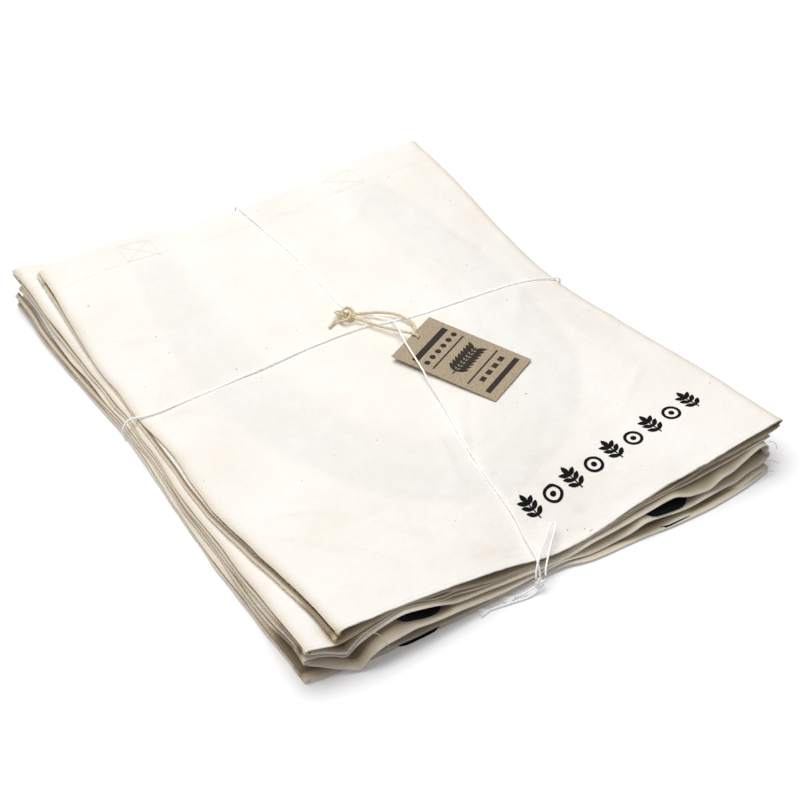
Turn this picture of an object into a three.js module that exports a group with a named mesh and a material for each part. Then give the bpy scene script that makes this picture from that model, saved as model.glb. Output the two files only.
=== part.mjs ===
// A bundle of four flat cotton tote bags, tied crosswise with twine, with a card tag on a cord.
// Millimetres, +Z up, resting on z = 0. The mouths of the upper two bags face +Y, of the lower two -Y.
import * as THREE from "three";

// One bag
const BAG_WIDTH = 370;
const BAG_LENGTH = 475;
const CLOTH = 0.7;
const HEM_CLOTH = 1.0;
const WEBBING_WIDTH = 38;
const WEBBING = 1.0;
const HANDLE_SPREAD = 98;
const HANDLE_INSET = 1.5;

// Clearances between pieces that touch
const BAG_GAP = 0.5;
const SEAM_GAP = 0.35;
const HANDLE_GAP = 0.8;

// Upturned edge that closes a bag on its three sewn sides
const RIM = 1.2;
const RIM_FOOT = 2.0;

// Cords and card
const TWINE = 1.6;
const TAG_CORD = 2.6;
const CARD_WIDTH = 55;
const CARD_LENGTH = 90;
const CARD = 0.6;
const CARD_HOLE = 4.4;

// Height of the stack of bags: even in the middle, higher at the corners, lower where the twine pulls
const STACK = 28;
const FRONT_CORNER_RISE = 11;
const BACK_EDGE_RISE = 5;
const BACK_CORNER_RISE = 4;
const SIDE_DIP = 13;
const FRONT_DIP = 15.3;
const BACK_DIP = 8;
const SIDE_DIP_REACH = 36;
const END_DIP_REACH = 44;

// Where each edge is pressed down by the twine, and how far along it
const LEFT_DIP_Y = 10;
const LEFT_DIP_LENGTH = 140;
const RIGHT_DIP_Y = 25;
const RIGHT_DIP_LENGTH = 170;
const FRONT_DIP_X = 6;
const FRONT_DIP_WIDTH = 62;
const BACK_DIP_X = 12;
const BACK_DIP_WIDTH = 45;

// Room for the twine under the stack
const TWINE_ROOM = 2.0;
const CROSSING_ROOM = 1.8;
const OVER_LONG_TWINE = [-70, -32, 20, 60];
const OVER_CROSS_TWINE = [-60, 5, 50, 100];

// The bundle's box is centred on the origin by this shift
const SHIFT_X = 3.0;
const SHIFT_Y = 0.85;

// Lines on which the cloth is folded into facets, the same for every bag
const COLUMNS = [-171, -148, -110, -70, -32, 20, 60, 100, 140, 164];
const ROWS = [-218, -207, -203, -165, -120, -60, 5, 50, 100, 150, 203, 207, 228];
const HEM_LINE = 205;

// Each bag: where its middle lies, how far it is turned, and how far the twine pulls its edges in
const BAGS = [
  { name: "bag_4", level: 0, x: -11, y: 1, turn: -1.2, mouth: -1, pull: { left: 7, right: 0, back: 0 } },
  { name: "bag_3", level: 1, x: -8, y: -2, turn: -1.0, mouth: -1, pull: { left: 4, right: 0, back: 0 } },
  { name: "bag_2", level: 2, x: -4.5, y: 8, turn: -0.6, mouth: 1, pull: { left: 2, right: 0, back: 3 } },
  { name: "bag_1", level: 3, x: 10, y: 2, turn: 0, mouth: 1, pull: { left: -6, right: 8, back: 0 } },
];
const TOP = BAGS[3];

// Where the twine pulls an edge in, and how far along it; and the lowest bag's bulging lip
const PULL_LEFT_Y = 42;
const PULL_LEFT_LENGTH = 70;
const PULL_RIGHT_Y = 40;
const PULL_RIGHT_LENGTH = 80;
const PULL_BACK_X = 12;
const PULL_BACK_WIDTH = 60;
const LIP_BULGE = 10;
const LIP_X = 100;
const LIP_WIDTH = 60;

const material = (color, roughness) => new THREE.MeshStandardMaterial({ color, roughness, metalness: 0 });
const cotton = material(0xe6dcc4, 0.95);
const webbing = material(0x1c1b1b, 0.9);
const twineWhite = material(0xefeae0, 0.85);
const cordTan = material(0xb89468, 0.9);
const card = material(0x9a7c5c, 0.8);

const clamp = (value, low, high) => Math.min(Math.max(value, low), high);
const mix = (a, b, t) => a + (b - a) * t;
const bell = (distance, reach, power = 2) => Math.exp(-(Math.abs(distance / reach) ** power));

// Height of the top of the stack over (x, y)
function stackTop(x, y) {
  const across = clamp((x - TOP.x) / (BAG_WIDTH / 2), -1, 1);
  const along = clamp((y - TOP.y) / (BAG_LENGTH / 2), -1, 1);
  const toEnd = Math.abs(along) ** 3;
  const rise =
    along < 0
      ? FRONT_CORNER_RISE * across ** 2
      : BACK_EDGE_RISE + BACK_CORNER_RISE * across ** 2;
  const fromLeft = Math.max(x - (TOP.x - BAG_WIDTH / 2), 0);
  const fromRight = Math.max(TOP.x + BAG_WIDTH / 2 - x, 0);
  const fromFront = Math.max(y - (TOP.y - BAG_LENGTH / 2), 0);
  const fromBack = Math.max(TOP.y + BAG_LENGTH / 2 - y, 0);
  return (
    STACK +
    toEnd * rise -
    SIDE_DIP * bell(y - LEFT_DIP_Y, LEFT_DIP_LENGTH, 4) * bell(fromLeft, SIDE_DIP_REACH) -
    SIDE_DIP * bell(y - RIGHT_DIP_Y, RIGHT_DIP_LENGTH, 3) * bell(fromRight, SIDE_DIP_REACH) -
    FRONT_DIP * bell(x - FRONT_DIP_X, FRONT_DIP_WIDTH) * bell(fromFront, END_DIP_REACH) -
    BACK_DIP * bell(x - BACK_DIP_X, BACK_DIP_WIDTH) * bell(fromBack, END_DIP_REACH)
  );
}

// 1 between two lines, falling to 0 at the outer pair
function plateau(value, outerLow, low, high, outerHigh) {
  if (value < low) return clamp((value - outerLow) / (low - outerLow), 0, 1);
  return clamp((outerHigh - value) / (outerHigh - high), 0, 1);
}

// Height of the underside of the stack: lifted over the two runs of twine that pass beneath it
function stackBottom(x, y) {
  const overLong = plateau(x, ...OVER_LONG_TWINE);
  const overCross = plateau(y, ...OVER_CROSS_TWINE);
  return TWINE_ROOM * Math.max(overLong, overCross) + CROSSING_ROOM * overLong * overCross;
}

// Height of the boundary under the bag of this level
function boundary(level, x, y) {
  return mix(stackBottom(x, y), stackTop(x, y), level / BAGS.length);
}

// The same height on the facets of the shared lines
function facetBoundary(level, x, y) {
  const i = clamp(COLUMNS.findLastIndex((line) => line <= x), 0, COLUMNS.length - 2);
  const [x0, x1] = [COLUMNS[i], COLUMNS[i + 1]];
  const u = (x - x0) / (x1 - x0);
  const j = ROWS.findLastIndex((line) => line <= y);
  if (j < 0 || j > ROWS.length - 2) return mix(boundary(level, x0, y), boundary(level, x1, y), u);
  const [y0, y1] = [ROWS[j], ROWS[j + 1]];
  const v = (y - y0) / (y1 - y0);
  const low = boundary(level, x0, y0);
  const high = boundary(level, x1, y1);
  if (u > v) {
    const side = boundary(level, x1, y0);
    return low + (side - low) * u + (high - side) * v;
  }
  const side = boundary(level, x0, y1);
  return low + (side - low) * v + (high - side) * u;
}

// A point of a bag's own frame, turned and moved to where the bag lies
function inBag(bag, x, y) {
  const turn = THREE.MathUtils.degToRad(bag.turn);
  return {
    x: bag.x + x * Math.cos(turn) - y * Math.sin(turn),
    y: bag.y + x * Math.sin(turn) + y * Math.cos(turn),
  };
}

// The four edges of a bag: left and right as x over y, front and back as y over x
function edges(bag) {
  const [w, l] = [BAG_WIDTH / 2, BAG_LENGTH / 2];
  const frontLeft = inBag(bag, -w, -l);
  const frontRight = inBag(bag, w, -l);
  const backLeft = inBag(bag, -w, l);
  const backRight = inBag(bag, w, l);
  const alongSide = (y) => (y - frontLeft.y) / (backLeft.y - frontLeft.y);
  const alongEnd = (x) => (x - frontLeft.x) / (frontRight.x - frontLeft.x);
  const bulge = bag.level === 0 ? LIP_BULGE : 0;
  return {
    left: (y) =>
      mix(frontLeft.x, backLeft.x, alongSide(y)) + bag.pull.left * bell(y - PULL_LEFT_Y, PULL_LEFT_LENGTH),
    right: (y) =>
      mix(frontRight.x, backRight.x, alongSide(y)) - bag.pull.right * bell(y - PULL_RIGHT_Y, PULL_RIGHT_LENGTH),
    front: (x) => mix(frontLeft.y, frontRight.y, alongEnd(x)) - bulge * bell(x - LIP_X, LIP_WIDTH),
    back: (x) =>
      mix(backLeft.y, backRight.y, alongEnd(x)) - bag.pull.back * bell(x - PULL_BACK_X, PULL_BACK_WIDTH),
  };
}

// Grid of plan positions of a panel; rims holds the extra insets on each sewn side
function planGrid(bag, rims) {
  const edge = edges(bag);
  const { x: middleX, y: middleY } = bag;
  const columns = [
    ...rims.left.map((inset) => (y) => edge.left(y) + inset),
    ...COLUMNS.map((line) => () => line),
    ...rims.right.toReversed().map((inset) => (y) => edge.right(y) - inset),
  ];
  const rows = [
    ...rims.front.map((inset) => (x) => edge.front(x) + inset),
    ...ROWS.map((line) => () => line),
    ...rims.back.toReversed().map((inset) => (x) => edge.back(x) - inset),
  ];
  return rows.map((row) =>
    columns.map((column) => {
      const y = row(column(row(middleX)));
      return { x: column(y), y };
    }),
  );
}

// Distance of a grid point inward from the nearest sewn edge
function fromSewnEdge(bag, x, y) {
  const edge = edges(bag);
  const sewnEnd = bag.mouth > 0 ? y - edge.front(x) : edge.back(x) - y;
  return Math.min(x - edge.left(y), edge.right(y) - x, sewnEnd);
}

const clothAt = (bag, y) => (y * bag.mouth > HEM_LINE ? HEM_CLOTH : CLOTH);

// The face of the upper panel that looks down into the bag, and of the lower panel that looks up
function insideTop(bag, x, y, height = boundary) {
  const gap = bag === TOP ? 0 : BAG_GAP / 2;
  return height(bag.level + 1, x, y) - gap - clothAt(bag, y);
}
function insideBottom(bag, x, y, height = boundary) {
  const gap = bag.level === 0 ? 0 : BAG_GAP / 2;
  return height(bag.level, x, y) + gap + clothAt(bag, y);
}

// A closed slab over a grid of plan positions, between a top and a bottom height
function slab(grid, top, bottom) {
  const [rows, columns] = [grid.length, grid[0].length];
  const positions = [];
  for (const height of [top, bottom])
    for (const row of grid) for (const { x, y } of row) positions.push(x, y, height(x, y));
  const upper = (j, i) => j * columns + i;
  const lower = (j, i) => rows * columns + upper(j, i);
  const faces = [];
  for (let j = 0; j + 1 < rows; j++)
    for (let i = 0; i + 1 < columns; i++) {
      faces.push(upper(j, i), upper(j, i + 1), upper(j + 1, i + 1));
      faces.push(upper(j, i), upper(j + 1, i + 1), upper(j + 1, i));
      faces.push(lower(j, i), lower(j + 1, i + 1), lower(j, i + 1));
      faces.push(lower(j, i), lower(j + 1, i), lower(j + 1, i + 1));
    }
  const wall = (a, b) => {
    faces.push(upper(...a), lower(...a), lower(...b));
    faces.push(upper(...a), lower(...b), upper(...b));
  };
  for (let i = 0; i + 1 < columns; i++) {
    wall([0, i], [0, i + 1]);
    wall([rows - 1, i + 1], [rows - 1, i]);
  }
  for (let j = 0; j + 1 < rows; j++) {
    wall([j + 1, 0], [j, 0]);
    wall([j, columns - 1], [j + 1, columns - 1]);
  }
  const geometry = new THREE.BufferGeometry();
  geometry.setAttribute("position", new THREE.Float32BufferAttribute(positions, 3));
  geometry.setIndex(faces);
  geometry.computeVertexNormals();
  return geometry;
}

function mesh(name, geometry, look) {
  const made = new THREE.Mesh(geometry, look);
  made.name = name;
  return made;
}

// The panel that faces up
function frontPanel(bag) {
  const grid = planGrid(bag, { left: [0], right: [0], front: [0], back: [0] });
  const bottom = (x, y) => insideTop(bag, x, y);
  const top = (x, y) => bottom(x, y) + clothAt(bag, y);
  return mesh(`${bag.name}_front_panel`, slab(grid, top, bottom), cotton);
}

// The panel that faces down, with the upturned rim on its sewn sides
function backPanel(bag) {
  const rim = [0, RIM, RIM_FOOT];
  const ends = bag.mouth > 0 ? { front: rim, back: [0] } : { front: [0], back: rim };
  const grid = planGrid(bag, { left: rim, right: rim, ...ends });
  const floor = (x, y) => insideBottom(bag, x, y) - clothAt(bag, y);
  const top = (x, y) =>
    fromSewnEdge(bag, x, y) < (RIM + RIM_FOOT) / 2
      ? insideTop(bag, x, y) - SEAM_GAP
      : insideBottom(bag, x, y);
  return mesh(`${bag.name}_back_panel`, slab(grid, top, floor), cotton);
}

// Middle lines of the two handles in a bag's own frame, mouth at the top of the page
const handleEnd = BAG_LENGTH / 2 - HANDLE_INSET;
const OUTER_HANDLE = [
  [-HANDLE_SPREAD, handleEnd],
  [-100, 190],
  [-110, 140],
  [-117, 80],
  [-121, 14],
  [-113, -32],
  [-102, -74],
  [-84, -114],
  [-58, -144],
  [-20, -161],
  [22, -153],
  [58, -130],
  [92, -92],
  [110, -36],
  [120, 40],
  [118, 102],
  [108, 170],
  [HANDLE_SPREAD, handleEnd],
];
const INNER_HANDLE = [
  [-HANDLE_SPREAD, handleEnd],
  [-98, 190],
  [-99, 120],
  [-101, 40],
  [-93, -30],
  [-76, -86],
  [-46, -120],
  [-4, -134],
  [38, -118],
  [72, -76],
  [92, -20],
  [100, 60],
  [99, 130],
  [HANDLE_SPREAD, 190],
  [HANDLE_SPREAD, handleEnd],
];
const HANDLE_STEPS = 20;

// A band of webbing along a route inside a bag, on the upper or the lower side of its inner space
function handle(bag, name, route, upper) {
  const line = new THREE.CatmullRomCurve3(
    route.map(([x, y]) => {
      const placed = inBag(bag, x * bag.mouth, y * bag.mouth);
      return new THREE.Vector3(placed.x, placed.y, 0);
    }),
  );
  const grid = [];
  for (let step = 0; step <= HANDLE_STEPS; step++) {
    const at = line.getPointAt(step / HANDLE_STEPS);
    const tangent = line.getTangentAt(step / HANDLE_STEPS);
    grid.push(
      [1, 0, -1].map((side) => ({
        x: at.x - (side * tangent.y * WEBBING_WIDTH) / 2,
        y: at.y + (side * tangent.x * WEBBING_WIDTH) / 2,
      })),
    );
  }
  const middle = (x, y) =>
    (insideTop(bag, x, y, facetBoundary) + insideBottom(bag, x, y, facetBoundary)) / 2;
  const bottom = (x, y) => middle(x, y) + (upper ? HANDLE_GAP / 2 : -HANDLE_GAP / 2 - WEBBING);
  const top = (x, y) => bottom(x, y) + WEBBING;
  return mesh(`${bag.name}_${name}`, slab(grid, top, bottom), webbing);
}

const points = (list) => list.map(([x, y, z]) => new THREE.Vector3(x, y, z));
const CORD_SIDES = 8;
const KNOT_STEPS = 42;

// A smooth line through the points of a route, with the same number of steps between each two
function routeLine(route, closed = false) {
  const line = new THREE.CatmullRomCurve3(points(route), closed);
  line.getPointAt = line.getPoint;
  line.getTangentAt = line.getTangent;
  return line;
}

// A cord with two ends along its route
function cord(name, route, diameter, fineness, look) {
  const round = new THREE.Shape();
  for (let side = 0; side < CORD_SIDES; side++) {
    const angle = (side / CORD_SIDES) * 2 * Math.PI;
    const [x, y] = [(Math.cos(angle) * diameter) / 2, (Math.sin(angle) * diameter) / 2];
    if (side === 0) round.moveTo(x, y);
    else round.lineTo(x, y);
  }
  const steps = (route.length - 1) * fineness;
  const extrudePath = routeLine(route);
  return mesh(name, new THREE.ExtrudeGeometry(round, { steps, extrudePath }), look);
}

// A cord that closes on itself
function ring(name, route, diameter, fineness, look) {
  const steps = route.length * fineness;
  const tube = new THREE.TubeGeometry(routeLine(route, true), steps, diameter / 2, CORD_SIDES, true);
  return mesh(name, tube, look);
}

// A tied knot: its cord's middle line stays within a ring of the given outer radius
function knot(name, at, outerRadius, diameter, facing, look) {
  const radius = (outerRadius - diameter / 2) / 1.5;
  const turns = new THREE.TorusKnotGeometry(radius, diameter / 2, KNOT_STEPS, CORD_SIDES, 2, 3);
  const tied = mesh(name, turns, look);
  tied.position.set(...at);
  if (facing === "front") tied.rotation.x = Math.PI / 2;
  return tied;
}

// Twine round the bundle from side to side, first over the top and back underneath
const CROSSWISE = [
  [-191.2, 42.6, 8],
  [-189.6, 42.8, 12.6],
  [-184.6, 42.9, 16.6],
  [-171, 39.5, 16.9],
  [-148, 33.5, 22],
  [-110, 27.6, 28.6],
  [-70, 29.5, 29.3],
  [-30, 31.5, 29.2],
  [12, 31, 29.2],
  [32, 25.5, 29.15],
  [56, 21, 29.2],
  [100, 18, 29.4],
  [140, 16.5, 27.9],
  [164, 17.5, 23],
  [180, 17, 19],
  [186, 16, 17.4],
  [189.6, 15.3, 16],
  [190.4, 14.8, 13.5],
  [189.2, 14.4, 10.5],
  [184.5, 14.2, 6],
  [178, 14, 2.4],
  [174.6, 14, 0.9],
  [168, 14.3, 0.9],
  [100, 19.6, 0.9],
  [-4, 27.3, 0.9],
  [-100, 34.5, 0.9],
  [-178, 40.3, 0.9],
  [-185, 40.9, 0.9],
  [-188.6, 41.4, 1],
  [-190.6, 42, 2.6],
];

// Twine round the bundle from front to back, from the knot over the top and back underneath
const LENGTHWISE = [
  [-25.5, -245.5, 11.8],
  [-24, -241.2, 16.8],
  [-21.5, -235, 18.6],
  [-16.3, -212, 20.9],
  [-14, -203, 22.6],
  [-12, -185, 25.9],
  [-10, -165, 28.4],
  [-1.5, -120, 29.3],
  [5, -95, 29.3],
  [9.3, -78, 29.8],
  [12, -62, 31.6],
  [16.2, -41, 34.3],
  [22, -10, 36.4],
  [27, 8, 36.9],
  [30.3, 17, 34],
  [32, 25, 31.25],
  [27, 33, 30.1],
  [11.5, 60, 29.35],
  [11.7, 94, 29.6],
  [13.7, 148, 30.4],
  [12.5, 190, 29.1],
  [13, 205, 28.6],
  [13.4, 228, 27],
  [13.4, 237, 27.2],
  [13.3, 241.5, 26.4],
  [13.2, 244.4, 23],
  [13, 245.2, 17],
  [12.8, 244.8, 11],
  [12.5, 242.8, 5.5],
  [12.3, 240.8, 2.4],
  [12.1, 238.6, 0.9],
  [11.9, 236, 0.9],
  [11.5, 230, 0.9],
  [3, 119, 0.9],
  [-2.6, 46, 0.9],
  [-3.2, 38, 1.2],
  [-4, 27.3, 2.8],
  [-4.8, 16.6, 1.2],
  [-5.4, 8, 0.9],
  [-14.4, -109, 0.9],
  [-23.6, -232, 0.9],
  [-24.2, -238.5, 1],
  [-25, -241.6, 2],
  [-25.8, -243.3, 4],
];

const TWINE_KNOT_AT = [-26, -246.5, 7];
const BOW_LOOP = [
  [-29, -245.8, 11.6],
  [-28, -243.8, 15.4],
  [-24, -240.2, 19.6],
  [-17.5, -234.5, 21.4],
  [-9, -228, 22.1],
  [0, -220.5, 22.6],
  [5, -218, 22.5],
  [3, -222.5, 22],
  [-5, -230, 20.5],
  [-14, -238, 17],
  [-19.5, -243.3, 13],
  [-21.2, -245.8, 10.8],
];
const SHORT_TAIL = [
  [-30.1, -246.2, 5],
  [-36, -245, 2.6],
  [-44.5, -243.5, 1.6],
];
const LONG_TAIL = [
  [-28, -247.8, 2.2],
  [-36, -248.2, 0.95],
  [-50, -246, 0.95],
  [-64, -243.5, 0.95],
];

// The card lies on the cloth by one corner and is held up by its cord at the hole
const CARD_HOLE_PLACE = [33.8, -8.8, 34.35];
const CARD_HOLE_INSET = 5;
const CARD_HOLE_SIDE = 1.5;
const CARD_TURN = 25;
const CARD_SIDE_RISE = 2.4;
const CARD_END_DROP = 3.0;

function tagCard() {
  const [left, right] = [-CARD_WIDTH / 2 - CARD_HOLE_SIDE, CARD_WIDTH / 2 - CARD_HOLE_SIDE];
  const [near, far] = [CARD_HOLE_INSET - CARD_LENGTH, CARD_HOLE_INSET];
  const outline = new THREE.Shape(points([[left, near], [right, near], [right, far], [left, far]]));
  const hole = new THREE.Path();
  hole.absarc(0, 0, CARD_HOLE / 2, 0, 2 * Math.PI, true);
  outline.holes.push(hole);
  const geometry = new THREE.ExtrudeGeometry(outline, { depth: CARD, bevelEnabled: false, curveSegments: 10 });
  geometry.translate(0, 0, -CARD / 2);
  const made = mesh("tag_card", geometry, card);
  const degrees = THREE.MathUtils.degToRad;
  made.rotation.set(degrees(CARD_END_DROP), -degrees(CARD_SIDE_RISE), degrees(CARD_TURN), "ZYX");
  made.position.set(...CARD_HOLE_PLACE);
  return made;
}

// The tag's cord from its knot over the crosswise twine, down through the hole and back to the knot
const CORD_KNOT_AT = [4.7, 49, 32.3];
const CORD_ROUTE = [
  [8.8, 41.4, 32],
  [16, 28.6, 32],
  [21, 19.3, 32.4],
  [26, 9.5, 33.7],
  [29.6, 1.5, 35.4],
  [32.4, -4.6, 36.5],
  [34, -8, 36.2],
  [34.2, -8.9, 34.4],
  [34.6, -7.8, 32.7],
  [36.4, -3.8, 32],
  [40, 3, 31.9],
  [42.6, 9.5, 31.9],
  [42.5, 17, 32],
  [38.5, 27, 32.4],
  [29, 36, 32.8],
  [19, 41.5, 32.6],
  [12.6, 45.3, 32.2],
];
const CORD_TAIL = [
  [-3.6, 48.9, 31],
  [-8, 47, 29.8],
  [-12.5, 44.6, 29.6],
];

const bundle = new THREE.Group();
bundle.name = "bundle";
bundle.position.set(SHIFT_X, SHIFT_Y, 0);
for (const bag of BAGS) {
  bundle.add(frontPanel(bag), backPanel(bag));
  bundle.add(handle(bag, "front_handle", bag.mouth > 0 ? OUTER_HANDLE : INNER_HANDLE, true));
  bundle.add(handle(bag, "back_handle", INNER_HANDLE, false));
}
bundle.add(
  ring("twine_crosswise", CROSSWISE, TWINE, 2, twineWhite),
  cord("twine_lengthwise", LENGTHWISE, TWINE, 2, twineWhite),
  knot("twine_knot", TWINE_KNOT_AT, 4.6, TWINE, "front", twineWhite),
  cord("twine_bow_loop", BOW_LOOP, TWINE, 2, twineWhite),
  cord("twine_short_tail", SHORT_TAIL, TWINE, 2, twineWhite),
  cord("twine_long_tail", LONG_TAIL, TWINE, 3, twineWhite),
  tagCard(),
  cord("tag_cord", CORD_ROUTE, TAG_CORD, 2, cordTan),
  knot("tag_cord_knot", CORD_KNOT_AT, 9, TAG_CORD, "up", cordTan),
  cord("tag_cord_tail", CORD_TAIL, TAG_CORD, 2, cordTan),
);

const part = new THREE.Group();
part.name = "tied_bag_bundle";
part.add(bundle);
export default part;
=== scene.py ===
import math
import random

import bpy
from mathutils import Euler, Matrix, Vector, noise
from mathutils.kdtree import KDTree


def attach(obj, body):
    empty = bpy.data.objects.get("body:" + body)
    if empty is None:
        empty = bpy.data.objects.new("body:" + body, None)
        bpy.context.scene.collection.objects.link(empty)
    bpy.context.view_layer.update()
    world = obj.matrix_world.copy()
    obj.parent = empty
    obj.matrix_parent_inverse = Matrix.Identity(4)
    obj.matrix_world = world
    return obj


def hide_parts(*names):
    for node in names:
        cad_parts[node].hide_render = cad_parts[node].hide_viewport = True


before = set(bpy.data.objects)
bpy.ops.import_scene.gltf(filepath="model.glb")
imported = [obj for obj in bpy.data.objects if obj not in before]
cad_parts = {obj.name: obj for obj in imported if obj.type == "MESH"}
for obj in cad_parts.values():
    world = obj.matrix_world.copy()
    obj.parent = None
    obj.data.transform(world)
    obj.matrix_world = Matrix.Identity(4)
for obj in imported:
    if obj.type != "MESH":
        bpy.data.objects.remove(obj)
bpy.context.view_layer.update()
bpy.ops.object.select_all(action="DESELECT")
scene = bpy.context.scene
scene.view_settings.view_transform = "Standard"

# Camera
# A 71 mm lens on a square picture, looking down at the near left corner of the bundle.
CAMERA_AT = Vector((-0.5004, -0.80935, 0.7646))
CAMERA_LOOKS = Vector((0.4217, 0.6479, -0.6343))
camera = bpy.data.objects.new("camera", bpy.data.cameras.new("camera"))
camera.data.lens = 71.36
camera.data.sensor_width = 36
camera.location = CAMERA_AT
camera.rotation_euler = CAMERA_LOOKS.to_track_quat("-Z", "Y").to_euler()
scene.collection.objects.link(camera)
scene.camera = camera


# Twine round the bundle
# Thin white cotton string of three laid strands, tied crosswise: one ring from side to side and
# one run from front to back, knotted in a bow in front. The routes are those of the CAD model, but
# a little lower over the back edge and rounder at the tip of the bow.
BUNDLE_AT = Vector((0.003, 0.00085, 0))
TWINE = 0.0016
CROSSWISE = [
    (-0.1912, 0.0426, 0.008), (-0.1896, 0.0428, 0.0126), (-0.1846, 0.0429, 0.0166),
    (-0.171, 0.0395, 0.0169), (-0.148, 0.0335, 0.022), (-0.11, 0.0276, 0.0286), (-0.07, 0.0295, 0.0293),
    (-0.03, 0.0315, 0.0292), (0.012, 0.031, 0.0292), (0.032, 0.0255, 0.02915), (0.056, 0.021, 0.0292),
    (0.1, 0.018, 0.0294), (0.14, 0.0165, 0.0279), (0.164, 0.0175, 0.023), (0.18, 0.017, 0.019),
    (0.186, 0.016, 0.0174), (0.1896, 0.0153, 0.016), (0.1904, 0.0148, 0.0135), (0.1892, 0.0144, 0.0105),
    (0.1845, 0.0142, 0.006), (0.178, 0.014, 0.0024), (0.1746, 0.014, 0.0009), (0.168, 0.0143, 0.0009),
    (0.1, 0.0196, 0.0009), (-0.004, 0.0273, 0.0009), (-0.1, 0.0345, 0.0009), (-0.178, 0.0403, 0.0009),
    (-0.185, 0.0409, 0.0009), (-0.1886, 0.0414, 0.001), (-0.1906, 0.042, 0.0026),
]
LENGTHWISE = [
    (-0.0255, -0.2455, 0.0118), (-0.024, -0.2412, 0.0168), (-0.0215, -0.235, 0.0186),
    (-0.0163, -0.212, 0.0209), (-0.014, -0.203, 0.0226), (-0.012, -0.185, 0.0259),
    (-0.01, -0.165, 0.0284), (-0.0015, -0.12, 0.0293), (0.005, -0.095, 0.0293), (0.0093, -0.078, 0.0298),
    (0.012, -0.062, 0.0316), (0.0162, -0.041, 0.0343), (0.022, -0.01, 0.0364), (0.027, 0.008, 0.0369),
    (0.0303, 0.017, 0.034), (0.032, 0.025, 0.03125), (0.027, 0.033, 0.0301), (0.0115, 0.06, 0.02935),
    (0.0117, 0.094, 0.0296), (0.0137, 0.148, 0.0304), (0.0125, 0.19, 0.0291), (0.013, 0.205, 0.0286),
    (0.0134, 0.228, 0.0263), (0.0134, 0.237, 0.026), (0.0133, 0.2415, 0.0252), (0.0132, 0.2444, 0.0222),
    (0.013, 0.2452, 0.017), (0.0128, 0.2448, 0.011), (0.0125, 0.2428, 0.0055), (0.0123, 0.2408, 0.0024),
    (0.0121, 0.2386, 0.0009), (0.0119, 0.236, 0.0009), (0.0115, 0.23, 0.0009), (0.003, 0.119, 0.0009),
    (-0.0026, 0.046, 0.0009), (-0.0032, 0.038, 0.0012), (-0.004, 0.0273, 0.0028),
    (-0.0048, 0.0166, 0.0012), (-0.0054, 0.008, 0.0009), (-0.0144, -0.109, 0.0009),
    (-0.0236, -0.232, 0.0009), (-0.0242, -0.2385, 0.001), (-0.025, -0.2416, 0.002),
    (-0.0258, -0.2433, 0.004),
]
BOW_LOOP = [
    (-0.029, -0.2458, 0.0116), (-0.028, -0.2438, 0.0154), (-0.024, -0.2402, 0.0196),
    (-0.0175, -0.2345, 0.0214), (-0.009, -0.228, 0.0221), (0.0031, -0.2182, 0.0226),
    (0.00445, -0.2179, 0.0226), (0.0056, -0.2186, 0.0226), (0.0059, -0.22, 0.0225),
    (0.0052, -0.2211, 0.0223), (-0.005, -0.23, 0.0205), (-0.014, -0.238, 0.017),
    (-0.0195, -0.2433, 0.013), (-0.0212, -0.2458, 0.0108),
]
SHORT_TAIL = [(-0.0301, -0.2462, 0.005), (-0.036, -0.245, 0.0026), (-0.0445, -0.2435, 0.0016)]
LONG_TAIL = [
    (-0.028, -0.2478, 0.0022), (-0.036, -0.2482, 0.00095), (-0.05, -0.246, 0.00095),
    (-0.064, -0.2435, 0.00095),
]
TWINE_KNOT_AT = Vector((-0.026, -0.2465, 0.007)) + BUNDLE_AT
TWINE_KNOT_RADIUS = 0.0046
STRANDS = 3
STRAND_GROOVE = 0.14
TWINE_LAY = 0.0075
FRAY = 0.0095
FRAY_HAIRS = 110
FRAY_SPREAD = 26
HAIR_HALF_WIDTH = 0.00016
HAIR_HALF_HEIGHT = 0.00012


def colour(hex_value):
    """An sRGB hex value as the linear colour that a shader takes."""
    channels = [int(hex_value[i : i + 2], 16) / 255 for i in (1, 3, 5)]
    return (*[c / 12.92 if c <= 0.04045 else ((c + 0.055) / 1.055) ** 2.4 for c in channels], 1)


def add_node(material, kind, inputs=None, ramp=(), **settings):
    """Adds a shader node: its inputs are values, nodes or their outputs, its ramp places and tones."""
    tree = material.node_tree
    made = tree.nodes.new("ShaderNode" + kind)
    for name, value in settings.items():
        setattr(made, name, value)
    for i, (place, tone) in enumerate(ramp):
        made.color_ramp.elements[i].position = place
        made.color_ramp.elements[i].color = colour(tone)
    for name, value in (inputs or {}).items():
        if isinstance(value, bpy.types.Node):
            value = value.outputs[0]
        if isinstance(value, bpy.types.NodeSocket):
            tree.links.new(value, made.inputs[name])
        else:
            made.inputs[name].default_value = value
    return made


def new_material(name):
    """A material that has no nodes yet."""
    material = bpy.data.materials.new(name)
    material.use_nodes = True
    material.node_tree.nodes.clear()
    return material


def matt_look(name, tones, grain, bump, roughness, along=None, more=None):
    """A matt finish with one fine noise as its tone and relief.

    grain is the noise's scale and detail, bump the relief's strength and depth, and along stretches the
    noise over a cord's length. more holds further values of the shader.
    """
    look = new_material(name)
    if along:
        place = add_node(look, "Mapping", {"Vector": add_node(look, "UVMap", uv_map="cloth"), "Scale": along})
    else:
        place = add_node(look, "TexCoord").outputs["Object"]
    noisy = add_node(look, "TexNoise", {"Vector": place, "Scale": grain[0], "Detail": grain[1]})
    tone = add_node(look, "ValToRGB", {"Fac": noisy}, ramp=tones)
    relief = add_node(look, "Bump", {"Height": noisy, "Strength": bump[0], "Distance": bump[1]})
    values = {"Base Color": tone, "Normal": relief, "Roughness": roughness, **(more or {})}
    add_node(look, "OutputMaterial", {"Surface": add_node(look, "BsdfPrincipled", values)})
    return look


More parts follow.
